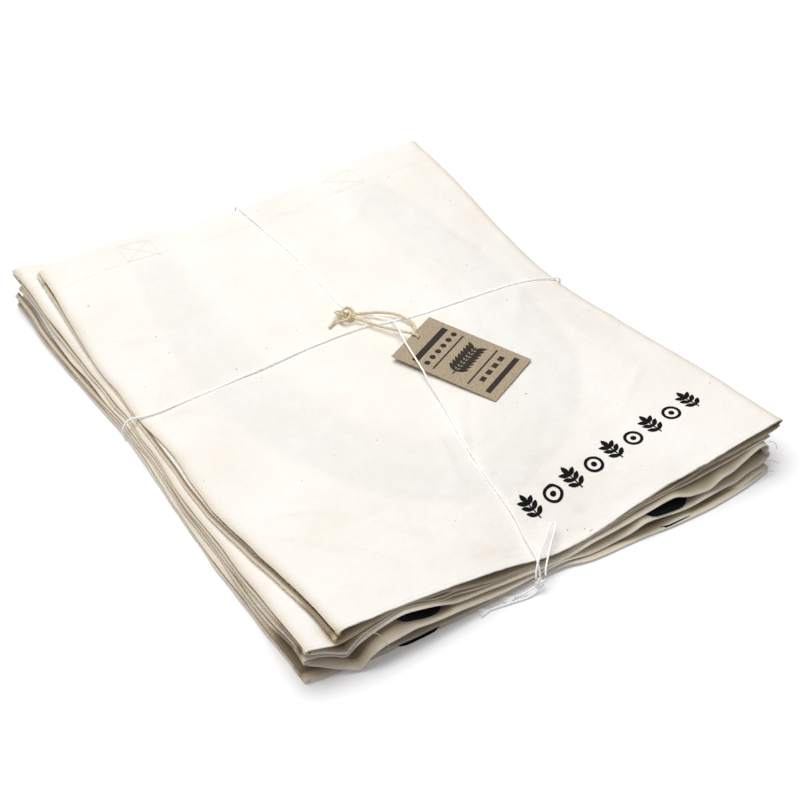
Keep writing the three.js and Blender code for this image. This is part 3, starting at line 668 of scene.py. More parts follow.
FRONT_EDGES = {
    ("bag_1", "upper"): [(-0.18, -0.2355, 0), (0.2, -0.2355, 0)],
    ("bag_1", "lower"): [
        (-0.178, -0.2355, 0.028), (-0.172, -0.2355, 0.028), (-0.15, -0.2358, 0.031),
        (-0.13, -0.236, 0.0334), (-0.118, -0.236, 0.0323), (-0.104, -0.236, 0.0295),
        (-0.096, -0.2358, 0.0283), (-0.088, -0.2356, 0.0255), (-0.06, -0.2356, 0.0178),
        (-0.024, -0.2355, 0.0122), (0.0, -0.2355, 0.0088), (0.025, -0.2355, 0.014),
        (0.045, -0.2355, 0.0172), (0.06, -0.2355, 0.02), (0.075, -0.2353, 0.0238),
        (0.095, -0.235, 0.0268), (0.11, -0.235, 0.028), (0.125, -0.2353, 0.0278), (0.15, -0.2358, 0.029),
        (0.175, -0.236, 0.031), (0.193, -0.236, 0.0325),
    ],
    ("bag_2", "upper"): [
        (-0.198, -0.2332, 0.0318), (-0.185, -0.2352, 0.0298), (-0.176, -0.236, 0.0277),
        (-0.165, -0.236, 0.0285), (-0.15, -0.2358, 0.0307), (-0.13, -0.236, 0.0331),
        (-0.118, -0.236, 0.0318), (-0.104, -0.236, 0.0268), (-0.096, -0.236, 0.025),
        (-0.088, -0.236, 0.0248), (-0.06, -0.236, 0.0175), (-0.024, -0.2358, 0.012),
        (0.0, -0.2356, 0.0086), (0.025, -0.2358, 0.0138), (0.045, -0.236, 0.017), (0.06, -0.236, 0.0197),
        (0.075, -0.236, 0.0224), (0.095, -0.2362, 0.0236), (0.11, -0.2362, 0.0246),
        (0.125, -0.236, 0.0268), (0.15, -0.2362, 0.0286), (0.183, -0.2365, 0.0306),
    ],
    ("bag_2", "lower"): [
        (-0.198, -0.2335, 0.0288), (-0.185, -0.2355, 0.0256, 0.0252), (-0.176, -0.237, 0.0215, 0.0205),
        (-0.1695, -0.2375, 0.0185, 0.0172), (-0.163, -0.2365, 0.0225, 0.022), (-0.156, -0.236, 0.0258),
        (-0.15, -0.236, 0.0273), (-0.13, -0.236, 0.0313), (-0.118, -0.236, 0.029),
        (-0.104, -0.2362, 0.0243), (-0.096, -0.2364, 0.0215), (-0.088, -0.2364, 0.021),
        (-0.06, -0.2364, 0.0153), (-0.024, -0.236, 0.0107), (0.0, -0.2358, 0.0077),
        (0.025, -0.236, 0.0123), (0.045, -0.2364, 0.015), (0.06, -0.2364, 0.0176),
        (0.075, -0.2364, 0.0205), (0.095, -0.2366, 0.0214), (0.11, -0.2366, 0.0208),
        (0.125, -0.2366, 0.0217), (0.15, -0.2368, 0.0242), (0.183, -0.2368, 0.0287),
    ],
    ("bag_3", "upper"): [
        (-0.2, -0.2335, 0.0272, 0.0268), (-0.187, -0.2345, 0.024, 0.0232),
        (-0.178, -0.236, 0.0203, 0.0193), (-0.1695, -0.237, 0.0165, 0.0145),
        (-0.163, -0.2375, 0.0212, 0.0202), (-0.155, -0.238, 0.0252, 0.0248),
        (-0.147, -0.238, 0.0275, 0.0272), (-0.137, -0.2385, 0.0295), (-0.128, -0.239, 0.0308, 0.0306),
        (-0.118, -0.2392, 0.0287), (-0.104, -0.2392, 0.0245), (-0.096, -0.239, 0.0218, 0.021),
        (-0.088, -0.2388, 0.0192, 0.0178), (-0.06, -0.2385, 0.015, 0.014),
        (-0.024, -0.2385, 0.0105, 0.0103), (0.0, -0.238, 0.0075, 0.0074), (0.025, -0.239, 0.0121, 0.011),
        (0.045, -0.2395, 0.0148, 0.0129), (0.065, -0.24, 0.0177, 0.016), (0.085, -0.24, 0.021, 0.0186),
        (0.095, -0.2405, 0.0212, 0.0192), (0.105, -0.2415, 0.0207, 0.0155),
        (0.112, -0.242, 0.0205, 0.0142), (0.125, -0.2425, 0.0213, 0.0126),
        (0.131, -0.2425, 0.0218, 0.015), (0.136, -0.242, 0.0226, 0.017), (0.147, -0.241, 0.0238, 0.0172),
        (0.157, -0.2405, 0.0252, 0.021), (0.169, -0.24, 0.027, 0.026), (0.182, -0.239, 0.0285, 0.028),
    ],
    ("bag_3", "lower"): [
        (-0.2, -0.2335, 0.0245, 0.0195), (-0.188, -0.2345, 0.0195, 0.0126),
        (-0.178, -0.2365, 0.0155, 0.0062), (-0.17, -0.2395, 0.0122, 0.0036),
        (-0.162, -0.2422, 0.009, 0.0014), (-0.157, -0.243, 0.0165, 0.0085),
        (-0.152, -0.2436, 0.0228, 0.0122), (-0.146, -0.2438, 0.0254, 0.0145),
        (-0.137, -0.2438, 0.027, 0.0152), (-0.131, -0.2438, 0.025, 0.0155),
        (-0.122, -0.2438, 0.0205, 0.016), (-0.114, -0.2436, 0.0165, 0.0145),
        (-0.105, -0.2432, 0.014, 0.013), (-0.096, -0.2428, 0.0125, 0.0118),
        (-0.088, -0.2425, 0.0148, 0.0112), (-0.078, -0.242, 0.0135, 0.0095),
        (-0.06, -0.2415, 0.0105, 0.0068), (-0.024, -0.24, 0.0074, 0.0052), (0.0, -0.239, 0.0058, 0.0046),
        (0.02, -0.2408, 0.0064, 0.0024), (0.04, -0.2415, 0.0072, 0.003), (0.055, -0.2432, 0.0098, 0.0062),
        (0.066, -0.244, 0.0134, 0.0098), (0.078, -0.2445, 0.0112, 0.0088), (0.09, -0.2448, 0.0088, 0.007),
        (0.1, -0.245, 0.0072, 0.0058), (0.109, -0.245, 0.0074, 0.0058), (0.116, -0.245, 0.0098, 0.0066),
        (0.128, -0.2445, 0.0105, 0.0066), (0.14, -0.2438, 0.0102, 0.0062), (0.15, -0.243, 0.01, 0.005),
        (0.16, -0.2422, 0.012, 0.0073), (0.182, -0.2402, 0.014, 0.008),
    ],
    ("bag_4", "upper"): [
        (-0.2, -0.23, 0.0045, 0.003), (-0.187, -0.233, 0.004, 0.0027), (-0.176, -0.2345, 0.0038, 0.0027),
        (-0.165, -0.236, 0.0038, 0.0028), (-0.15, -0.237, 0.0038, 0.0032),
        (-0.13, -0.2378, 0.0042, 0.0034), (-0.1, -0.239, 0.0036, 0.003), (-0.06, -0.2392, 0.0038, 0.0032),
        (-0.024, -0.2395, 0.0046, 0.0038), (0.0, -0.2388, 0.0044, 0.004), (0.02, -0.2438, 0.0022, 0.0011),
        (0.04, -0.2448, 0.0028, 0.001), (0.06, -0.246, 0.0042, 0.0016), (0.078, -0.247, 0.0043, 0.002),
        (0.09, -0.2474, 0.0042, 0.0032), (0.1, -0.2478, 0.0038, 0.003), (0.112, -0.2482, 0.0034, 0.001),
        (0.14, -0.247, 0.0035, 0.001), (0.16, -0.2448, 0.0068, 0.0035), (0.183, -0.241, 0.0078, 0.005),
    ],
    ("bag_4", "lower"): [
        (-0.2, -0.2308, 0.0003, 0.0006), (-0.187, -0.234, 0.0003), (-0.176, -0.2355, 0.0003),
        (-0.165, -0.237, 0.0003), (-0.15, -0.238, 0.0003), (-0.13, -0.2388, 0.0003),
        (-0.1, -0.24, 0.0003), (-0.06, -0.2398, 0.0006, 0.0003), (0.0, -0.24, 0.0018, 0.0014),
        (0.02, -0.2445, 0.0008, 0.0003), (0.06, -0.247, 0.0003), (0.08, -0.2485, 0.0003),
        (0.1, -0.2498, 0.0003), (0.115, -0.25, 0.0003), (0.14, -0.2488, 0.0003),
        (0.17, -0.2455, 0.0003, 0.0005), (0.185, -0.242, 0.0003, 0.0016),
    ],
}
BACK_EDGES = {
    "bag_1": [
        (-0.174, 0.2302), (-0.15, 0.2335), (-0.12, 0.238), (-0.06, 0.2394), (0.0, 0.2394),
        (0.196, 0.2396),
    ],
    "bag_2": [
        (-0.19, 0.25), (-0.15, 0.2475), (-0.1, 0.2462), (0.012, 0.2418), (0.1, 0.2448), (0.184, 0.2437),
    ],
    "bag_3": [(-0.194, 0.2385), (-0.1, 0.2372), (0.012, 0.2352), (0.1, 0.2338), (0.182, 0.2325)],
    "bag_4": [(-0.195, 0.2415), (-0.1, 0.2402), (0.012, 0.238), (0.1, 0.2362), (0.18, 0.2345)],
}
# How far in from the front line the tables' heights and the droop of the lips reach
FRONT_LINE = -0.237
SHELF_REACH = 0.042
DROOP_REACH = 0.0058
DROOP_POWER = 3
# x of the pleat at the near corner, and of the end of the strip of bag_2 that bag_1 leaves bare
PLEAT_AT = -0.1575
BARE_STRIP = -0.182
BACKS = {name: curve(rows, 1) for name, rows in BACK_EDGES.items()}
EDGES = {}
for bag in BAGS:
    for side, column in (("upper", 1), ("lower", 2)):
        front = FRONT_EDGES[bag["name"], side]
        EDGES[bag["name"], side] = {
            "left": curve(LEFT_EDGES[bag["name"]], column),
            "right": curve(RIGHT_EDGES[bag["name"]], column), "front": curve(front, 1),
            "shelf": curve(front, 2), "edge": curve(front, -1),
        }


def stray(bag, side, place, seed):
    """How far an edge wanders from its line at a place along it."""
    return 0.0007 * noise.noise(Vector((place / 0.025, seed, bag["level"] * 3.1 + (side == "upper"))))


def edge_at(bag, side, edge, place):
    """Where an edge runs: x of the left or right one at this y, y of the front or back one at this x."""
    if edge != "back":
        return EDGES[bag["name"], side][edge](place) + stray(bag, side, place, len(edge) * 1.7)
    inset = 0 if side == "upper" else 0.0012
    return BACKS[bag["name"]](place) - inset + 2 * stray(bag, side, place, 12.5)


# Cloth of each bag
# Each bag is two panels of calico, sewn inside out on three sides, so that their edges roll in to
# the seam. The fourth side is the mouth, with a doubled hem of 30 mm. The panels are shaped as
# grids of points by the heights above, with no simulation, and then given their thickness.
CLOTH = 0.0005
LAYER_GAP = 0.00012
# Distance in from a sewn edge and, at the sides, share of the way from the face to the seam
SEWN_ROLL = [
    (0.010, 0.0), (0.0070, 0.04), (0.0045, 0.12), (0.0026, 0.25), (0.0012, 0.40), (0.0003, 0.55),
    (0.0, 0.64), (0.0003, 0.75), (0.0011, 0.88), (0.0022, 0.97), (0.0034, 1.0),
]
# Distance in from the mouth and depth below the face
HEM_ROLL = [
    (0.010, 0.0), (0.0088, 0.0), (0.0076, 0.0), (0.0064, 0.0), (0.0053, 0.0), (0.0042, 0.00003),
    (0.0031, 0.00008), (0.0018, 0.00015), (0.0006, 0.00045), (0.0, 0.0009), (0.0003, 0.00135),
    (0.0012, 0.0017), (0.0050, 0.0018), (0.0140, 0.0018),
]
OUTER_HANDLE = [
    (-0.098, 0.236), (-0.1, 0.19), (-0.11, 0.14), (-0.117, 0.08), (-0.121, 0.014), (-0.113, -0.032),
    (-0.102, -0.074), (-0.084, -0.114), (-0.058, -0.144), (-0.02, -0.161), (0.022, -0.153),
    (0.058, -0.13), (0.092, -0.092), (0.11, -0.036), (0.12, 0.04), (0.118, 0.102), (0.108, 0.17),
    (0.098, 0.236),
]
INNER_HANDLE = [
    (-0.098, 0.236), (-0.098, 0.19), (-0.099, 0.12), (-0.101, 0.04), (-0.093, -0.03), (-0.076, -0.086),
    (-0.046, -0.12), (-0.004, -0.134), (0.038, -0.118), (0.072, -0.076), (0.092, -0.02), (0.1, 0.06),
    (0.099, 0.13), (0.098, 0.19), (0.098, 0.236),
]
# Where the ends of the lower handles lie in the two open mouths in front
LOWER_ENDS = {
    "bag_3": [(0.0885, -0.2432), (-0.1158, -0.2388)],
    "bag_4": [(0.0925, -0.2482), (-0.1158, -0.2400)],
}
WEBBING_WIDTH = 0.038
# Plain cloth inside the rolls: from the side edges and the back, and from the front edge
SIDE_BAND = 0.010
FRONT_BAND = 0.030
# Soft creases that the top bag keeps from being folded and tied: two ends, height and half width
CREASES = [
    ((-0.172, -0.100), (-0.113, -0.133), 0.0005, 0.0040),
    ((-0.113, -0.133), (-0.050, -0.222), 0.0006, 0.0045),
    ((-0.166, -0.122), (-0.100, -0.205), 0.0005, 0.0040),
    ((-0.140, -0.140), (-0.082, -0.226), -0.0004, 0.0045),
    ((-0.070, -0.180), (-0.036, -0.226), 0.0006, 0.0035),
    ((-0.165, -0.170), (-0.125, -0.225), 0.0004, 0.0050),
    ((-0.012, -0.100), (-0.030, -0.165), 0.0005, 0.0035),
    ((0.030, -0.085), (-0.012, -0.150), -0.0004, 0.0040),
    ((0.103, 0.095), (0.112, 0.020), 0.0005, 0.0040), ((0.084, 0.190), (0.030, 0.222), -0.0005, 0.0050),
    ((0.060, 0.150), (0.118, 0.190), 0.0004, 0.0050), ((-0.160, 0.128), (-0.120, 0.104), 0.0005, 0.0040),
    ((-0.170, 0.030), (-0.105, 0.022), 0.0004, 0.0040),
    ((0.120, -0.150), (0.165, -0.120), 0.0004, 0.0050),
    ((0.035, -0.215), (0.015, -0.160), 0.0005, 0.0040), ((0.150, 0.015), (0.110, -0.030), 0.0005, 0.0045),
]
# All the heights in the table are raised by this factor
CREASE_DEPTH = 3.2


def crease_height(x, y):
    """How far the creases lift the cloth of the top bag."""
    lift = 0.0
    here = Vector((x, y))
    for first, last, height, half_width in CREASES:
        start, way = Vector(first), Vector(last) - Vector(first)
        along = clamp((here - start).dot(way) / way.length_squared, 0, 1)
        distance = (here - start - way * along).length
        if distance < 3 * half_width:
            wander = 1 + 0.35 * slow_wave(x, y, 0.02, 8.0)
            fading = 1 - (2 * along - 1) ** 4
            lift += CREASE_DEPTH * height * bell(distance, 0.8 * half_width * wander) * fading
    return lift


def handle_line(bag, route, lower=False, steps=12):
    """The middle line of a handle in plan, where the bag lies, without the bundle's place."""
    flat = [(*in_bag(bag, x * bag["mouth"], y * bag["mouth"]), 0) for x, y in route]
    if lower and bag["name"] in LOWER_ENDS:
        first, last = LOWER_ENDS[bag["name"]]
        straight = [(x, y + 0.045, 0) for x, y in (first, last)]
        flat = [(*first, 0), straight[0], *flat[2:-2], straight[1], (*last, 0)]
    return [point - BUNDLE_AT for point in smooth_line(flat, steps=steps)]


def nearest(line):
    """A search tree over a line's points."""
    tree = KDTree(len(line))
    for i, point in enumerate(line):
        tree.insert(point, i)
    tree.balance()
    return tree


twine_over = smooth_line(CROSSWISE, closed=True) + smooth_line(LENGTHWISE)
twine_over = [point - BUNDLE_AT for point in twine_over if point.z > 0.012]
twine_tree = nearest([Vector((p.x, p.y, 0)) for p in twine_over])
outer_band = nearest(handle_line(TOP, OUTER_HANDLE))
inner_band = nearest(handle_line(TOP, INNER_HANDLE))


def band_over(tree, x, y, soft):
    """1 over a handle's webbing and 0 beside it, with an edge this soft."""
    distance = tree.find(Vector((x, y, 0)))[2]
    share = clamp((WEBBING_WIDTH / 2 + soft / 2 - distance) / soft, 0, 1)
    return share * share * (3 - 2 * share)


def face_height(bag, side, x, y):
    """Height of the cloth's outer face on a panel of a bag."""
    edges = EDGES[bag["name"], side]
    if side == "upper":
        height = boundary(bag["level"] + 1, x, y) - (LAYER_GAP if bag is not TOP else 0)
    else:
        height = boundary(bag["level"], x, y) + (LAYER_GAP if bag["level"] else 0)
    if bag is not TOP or side == "lower":
        shelf = edges["shelf"](x)
        height = mix(height, shelf, bell(max(y - FRONT_LINE, 0), SHELF_REACH))
        height += (edges["edge"](x) - shelf) * bell(max(y - edges["front"](x), 0), DROOP_REACH, DROOP_POWER)
        return height
    height += 0.0003 + 0.0009 * slow_wave(x, y, 0.075, 2.0) + 0.0004 * slow_wave(x, y, 0.022, 5.0)
    height += crease_height(x, y) + 0.0007 * band_over(outer_band, x, y, 0.014)
    _, index, distance = twine_tree.find(Vector((x, y, 0)))
    press = height - (twine_over[index].z - TWINE / 2 + 0.0001)
    if press > 0:
        height -= press * bell(distance, 0.005)
    return height


def painted_edge_shade(bag, side, x, y, sewn):
    """Painted shade on the cloth: 0 on its faces, 0.3 to 0.5 at rims, up to 1 deep in a tuck."""
    inside = y - edge_at(bag, side, "front", x)
    rim = 0.3 * clamp(sewn / 0.4, 0, 1)
    # The painted shade of the side seams stays light where they end in an open mouth
    if bag["mouth"] < 0 and inside < 0.012:
        sewn = min(sewn, 0.85)
    # Painted shade in the pleat at the near corner
    if bag["name"] == "bag_3" and side == "lower":
        rim = max(rim, 0.9 * bell(x - PLEAT_AT, 0.011) * bell(inside - 0.007, 0.0065))
    # Painted shade at the front edges, light at the lip and deep behind it, but not on bag_2's bare left
    # strip
    if bag is not TOP or side == "lower":
        hidden = (bag["name"], side) in (("bag_1", "lower"), ("bag_2", "upper"))
        lip = mix(0.6 if hidden else 0.2, 0.96, clamp((inside - 0.001) / 0.0055, 0, 1))
        bare = bag["name"] == "bag_2" and side == "upper"
        covered = clamp((x - BARE_STRIP) / 0.008, 0, 1) if bare else 1
        rim = max(rim, covered * lip * bell(max(inside - 0.007, 0), 0.010))
        # Further in, painted shade where a panel faces the one below it
        if (side == "lower") == (bag["level"] > 0):
            rim = max(rim, 0.88 * plateau(inside, 0.004, 0.011, 0.035, 0.060))
    elif sewn > 0:
        rim = max(rim, 0.5 * bell(max(inside, 0), 0.012) * clamp(sewn / 0.4, 0, 1))
    # Deep painted shade in the tuck of a side seam
    return max(rim, 0.5 + 0.5 * (sewn - 0.85) / 0.15 if sewn > 0.85 else 0)


def thicken(piece, thickness, offset):
    """Gives a sheet its thickness, inwards for an offset of -1 and to both sides for 0."""
    thick = piece.modifiers.new("thickness", "SOLIDIFY")
    thick.thickness = thickness
    thick.offset = offset
    bpy.context.view_layer.objects.active = piece
    piece.select_set(True)
    bpy.ops.object.modifier_apply(modifier=thick.name)
    piece.select_set(False)


def cloth_panel(bag, side, columns_inside, rows_inside):
    """One panel of a bag, as a grid of quads from edge to edge that is then given its thickness."""
    other = "lower" if side == "upper" else "upper"
    way = -1 if side == "upper" else 1
    columns = [("left", inset, share) for inset, share in SEWN_ROLL[::-1]]
    columns += [("inside", (i + 1) / (columns_inside + 1), 0.0) for i in range(columns_inside)]
    columns += [("right", inset, share) for inset, share in SEWN_ROLL]
    # The cloth turns back at the sewn end too, but keeps its height there: the strip lies on its face
    turned_back = [(inset, 0.0) for inset, share in SEWN_ROLL]
    front_roll, back_roll = (turned_back, HEM_ROLL) if bag["mouth"] > 0 else (HEM_ROLL, turned_back)
    rows = [("front", inset, depth) for inset, depth in front_roll[::-1]]
    # Closer rows where a lip bends down
    if side == "lower" or bag is not TOP:
        rows += [("front", inset, 0.0) for inset in (0.0112, 0.0128)]
    rows += [("front", inset, 0.0) for inset in (0.0145, 0.0175, 0.0215, 0.027)]
    rows += [("inside", (j + 0.5) / rows_inside, 0.0) for j in range(rows_inside)]
    rows += [("back", inset, depth) for inset, depth in back_roll]
    mouth_end = "back" if bag["mouth"] > 0 else "front"
    vertices, through, painted_shades, from_mouths = [], [], [], []
    for end, inset, depth in rows:
        for edge, side_inset, sewn in columns:
            x, y = bag["at"]
            # Each edge depends on the place along it, so the second round settles x and y together
            for _ in range(2):
                front, back = edge_at(bag, side, "front", x), edge_at(bag, side, "back", x)
                y = {
                    "front": front + inset,
                    "back": back - inset,
                    "inside": mix(front + FRONT_BAND, back - SIDE_BAND, inset),
                }[end]
                left, right = edge_at(bag, side, "left", y), edge_at(bag, side, "right", y)
                x = {
                    "left": left + side_inset,
                    "right": right - side_inset,
                    "inside": mix(left + SIDE_BAND, right - SIDE_BAND, side_inset),
                }[edge]
            height = face_height(bag, side, x, y)
            seam = (height + face_height(bag, other, x, y)) / 2 - way * 0.0001
            z = mix(height, seam, sewn) + way * depth * (1 - sewn)
            vertices.append(Vector((x, y, z)) + BUNDLE_AT)
            shade = 0.0
            if bag is TOP and side == "upper":
                below_hem = clamp((edge_at(bag, side, "back", x) - y - STITCH_LINE) / 0.012, 0, 1)
                outer, inner = band_over(outer_band, x, y, 0.012), band_over(inner_band, x, y, 0.016)
                shade = 0.8 * max(0.9 * outer, 0.65 * inner) * below_hem
            through.append(shade)
            # Painted shade at the rolls, lips, pleat and tucks
            painted_shades.append(painted_edge_shade(bag, side, x, y, sewn))
            from_mouths.append(abs(y - edge_at(bag, side, mouth_end, x)))
    width, length = len(columns), len(rows)
    middle_row, middle_column = width * (length // 2), width // 2
    travelled_x, travelled_y = [0.0], [0.0]
    for i in range(1, width):
        a, b = vertices[i - 1 + middle_row], vertices[i + middle_row]
        travelled_x.append(travelled_x[-1] + (b - a).length)
    for j in range(1, length):
        a, b = vertices[middle_column + width * (j - 1)], vertices[middle_column + width * j]
        travelled_y.append(travelled_y[-1] + (b - a).length)
    # Each panel is cut from its own stretch of the cloth's pattern, in metres
    offset = 0.7 * bag["level"] + (0.35 if side == "upper" else 0)
    faces, uvs = [], []
    for j in range(length - 1):
        for i in range(width - 1):
            corners = [(i, j), (i + 1, j), (i + 1, j + 1), (i, j + 1)]
            if side == "lower":
                corners.reverse()
            faces.append([b * width + a for a, b in corners])
            uvs += [(travelled_x[a] + offset, travelled_y[b]) for a, b in corners]
    side_name = "front" if side == "upper" else "back"
    piece = new_piece(f"{bag['name']}_{side_name}_cloth", vertices, faces, uvs, calico)
    # The show-through, the painted shade and the distance from the mouth, kept on the cloth's points
    for name, values in (("show_through", through), ("painted_shade", painted_shades), ("from_mouth", from_mouths)):
        piece.data.attributes.new(name, "FLOAT", "POINT").data.foreach_set("value", values)
    thicken(piece, CLOTH, -1)
    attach(piece, "bundle")
    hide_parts(f"{bag['name']}_{side_name}_panel")


for bag in BAGS:
    cloth_panel(bag, "upper", 130, 150 if bag is TOP else 90)
    cloth_panel(bag, "lower", 110 if bag["mouth"] < 0 else 80, 70)


# Handles
# Black cotton webbing 38 mm wide, sewn inside each hem and laid inside the bag in a U. The lower
# ones come out to the lip of the two mouths in front.
WEBBING = 0.0013
ROUNDED_END = 0.0046
BAND_STEP = 0.006
# How far inside the cloth's faces the webbing's room begins, and each band's distance from its middle
INSIDE_FACE = 0.0021
BANDS_APART = 0.0008
# Dull black cotton with ribs across the band, their crests painted a little lighter: a painted highlight.
webbing_look = new_material("black_cotton_webbing")
band_map = add_node(webbing_look, "UVMap", uv_map="cloth")
ribs = add_node(
    webbing_look, "TexWave", {"Vector": band_map, "Scale": 160.0, "Distortion": 0.4}, bands_direction="X",
)
tone = add_node(webbing_look, "ValToRGB", {"Fac": ribs}, ramp=[(0.0, "#08080a"), (1.0, "#1d1c1f")])
relief = add_node(webbing_look, "Bump", {"Height": ribs, "Strength": 0.5, "Distance": 0.0003})
shader = add_node(
    webbing_look, "BsdfPrincipled",
    {"Base Color": tone, "Normal": relief, "Roughness": 0.9, "Specular IOR Level": 0.2},
)
add_node(webbing_look, "OutputMaterial", {"Surface": shader})


def webbing_band(bag, side_name, route):
    """A handle's band inside a bag: against the hem at its ends, and beside the other band between."""
    upper = side_name == "front"
    line = evenly(handle_line(bag, route, lower=not upper), BAND_STEP)[0]
    vertices, faces, uvs = [], [], []
    across_steps = 10
    for i, point in enumerate(line):
        tangent = (line[min(i + 1, len(line) - 1)] - line[max(i - 1, 0)]).normalized()
        for j in range(across_steps + 1):
            aside = (j / across_steps - 0.5) * WEBBING_WIDTH
            x, y = point.x - tangent.y * aside, point.y + tangent.x * aside
            if i in (0, len(line) - 1):
                back = ROUNDED_END * abs(2 * aside / WEBBING_WIDTH) ** 5 * (1 if i == 0 else -1)
                x, y = x + tangent.x * back, y + tangent.y * back
            inner_top = face_height(bag, "upper", x, y) - INSIDE_FACE
            inner_bottom = face_height(bag, "lower", x, y) + INSIDE_FACE
            middle = (inner_top + inner_bottom) / 2
            if inner_top - inner_bottom < WEBBING:
                inner_top, inner_bottom = middle + WEBBING / 2, middle - WEBBING / 2
            near_end = bell(min(i, len(line) - 1 - i) * BAND_STEP, 0.03)
            if upper:
                z = mix(middle + BANDS_APART, inner_top - WEBBING / 2, near_end)
            else:
                z = mix(middle - BANDS_APART, inner_bottom + WEBBING / 2, near_end)
            vertices.append(Vector((x, y, z)) + BUNDLE_AT)
    width = across_steps + 1
    for i in range(len(line) - 1):
        for j in range(across_steps):
            corners = [(i, j), (i + 1, j), (i + 1, j + 1), (i, j + 1)]
            faces.append([a * width + b for a, b in corners])
            uvs += [(a * BAND_STEP, b * WEBBING_WIDTH / across_steps) for a, b in corners]
    piece = new_piece(f"{bag['name']}_{side_name}_webbing", vertices, faces, uvs, webbing_look)
    thicken(piece, WEBBING, 0)
    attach(piece, "bundle")
    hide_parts(f"{bag['name']}_{side_name}_handle")


for bag in BAGS:
    webbing_band(bag, "front", OUTER_HANDLE if bag["mouth"] > 0 else INNER_HANDLE)
    webbing_band(bag, "back", INNER_HANDLE)


# Block print
# A row of black leaf sprays and rings printed along the front of the top bag, where such a bag has
# its artwork. The ink lies in the weave, so the motifs are thin shapes just over the cloth.
PRINT_FROM = Vector((0.004, -0.2065))
PRINT_TO = Vector((0.162, -0.1855))
PRINT_MOTIFS = 9
PRINT_HEIGHT = 0.021
INK_OVER = 0.0003
DOT = 0.00005
STEM_WIDTH = 0.0011
LEAF_WIDTH = 0.0036

# Screen ink: matt and near black, a little greyer where the weave wears it.
ink_look = matt_look(
    "black_screen_ink", tones=[(0.45, "#08080a"), (0.75, "#1b1a1e")], grain=(1400.0, 3.0),
    bump=(0.3, 0.0001), roughness=0.8, more={"Specular IOR Level": 0.15},
)


def leaf(base, angle, length, width, steps=9):
    """The outline of an almond-shaped leaf as pairs of points, from its base to its tip."""
    way = Vector((math.cos(angle), math.sin(angle)))
    aside = Vector((-way.y, way.x))
    pairs = []
    for step in range(steps + 1):
        t = step / steps
        half = width / 2 * math.sin(math.pi * t) ** 0.8 + 0.00005
        pairs.append((base + way * length * t + aside * half, base + way * length * t - aside * half))
    return pairs


def stroke(points, width):
    """A line of this width through plane points, as pairs of points."""
    pairs = []
    for i, point in enumerate(points):
        way = (points[min(i + 1, len(points) - 1)] - points[max(i - 1, 0)]).normalized()
        aside = Vector((-way.y, way.x)) * width / 2
        pairs.append((point + aside, point - aside))
    return pairs


def ring(centre, outer, inner, steps=28):
    """A ring, or a dot where the inner radius is nearly nothing, as pairs of points."""
    pairs = []
    for step in range(steps + 1):
        turn = 2 * math.pi * step / steps
        way = Vector((math.cos(turn), math.sin(turn)))
        pairs.append((centre + way * inner, centre + way * outer))
    return pairs


def printed(name, shapes, surface, material, body):
    """Flat shapes laid on a surface; each shape is a list of pairs of plane points."""
    vertices, faces = [], []
    for pairs in shapes:
        first = len(vertices)
        for a, b in pairs:
            vertices += [surface(a), surface(a.lerp(b, 0.5)), surface(b)]
        for i in range(len(pairs) - 1):
            for j in range(2):
                corner = first + 3 * i + j
                faces.append((corner, corner + 1, corner + 4, corner + 3))
    piece = new_piece(name, vertices, faces, None, material)
    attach(piece, body)
    return piece


shapes = []
along = (PRINT_TO - PRINT_FROM).normalized()
upward = Vector((-along.y, along.x))
for motif in range(PRINT_MOTIFS):
    foot = PRINT_FROM.lerp(PRINT_TO, motif / (PRINT_MOTIFS - 1))
    lean = math.atan2(upward.y, upward.x)
    if motif % 2:
        middle = foot + upward * PRINT_HEIGHT * 0.42
        shapes.append(ring(middle, 0.0072, 0.0049))
        shapes.append(ring(middle, 0.0022, DOT))
        continue
    shapes.append(stroke([foot + upward * PRINT_HEIGHT * step / 6 for step in range(6)], STEM_WIDTH))
    shapes.append(leaf(foot + upward * PRINT_HEIGHT * 0.62, lean, PRINT_HEIGHT * 0.42, 0.0042))
    for height in (0.12, 0.36, 0.58):
        for turned in (-0.95, 0.95):
            base = foot + upward * PRINT_HEIGHT * height
            shapes.append(leaf(base, lean + turned, 0.0085, LEAF_WIDTH))


def over_top_bag(point):
    return Vector((point.x, point.y, face_height(TOP, "upper", point.x, point.y) + INK_OVER)) + BUNDLE_AT


printed("bag_1_block_print", shapes, over_top_bag, ink_look, "bundle")


# Stitches of the handle ends
# Each end of the top bag's handles is sewn to the hem by a box with a cross in it, which shows on
# the face as rows of short stitches in the bag's own thread.
BOX_AT = [(-0.0905, 0.2185), (0.1065, 0.2175)]
BOX_WIDTH = 0.029
BOX_LENGTH = 0.023
BOX_STITCH = 0.0021
BOX_STEP = 0.0032
BOX_THREAD = 0.00045

# Undyed sewing thread, a shade darker than the cloth and matt.
box_thread_look = matt_look(
    "pale_lockstitch_thread", tones=[(0.4, "#e6e0d4"), (0.6, "#f2ede3")], grain=(3000.0, 2.0),
    bump=(0.3, 0.0001), roughness=0.85,
)
shapes = []
for box_x, box_y in BOX_AT:
    left, right = box_x - BOX_WIDTH / 2, box_x + BOX_WIDTH / 2
    near, far = box_y - BOX_LENGTH / 2, box_y + BOX_LENGTH / 2
    corners = [Vector((left, near)), Vector((right, near)), Vector((right, far)), Vector((left, far))]
    for a, b in ((0, 1), (1, 2), (2, 3), (3, 0), (0, 2), (1, 3)):
        row = corners[b] - corners[a]
        for step in range(int(row.length / BOX_STEP)):
            start = corners[a] + row.normalized() * (step * BOX_STEP + 0.0005)
            shapes.append(stroke([start, start + row.normalized() * BOX_STITCH], BOX_THREAD))
box_stitches = printed("bag_1_handle_stitches", shapes, over_top_bag, box_thread_look, "bundle")


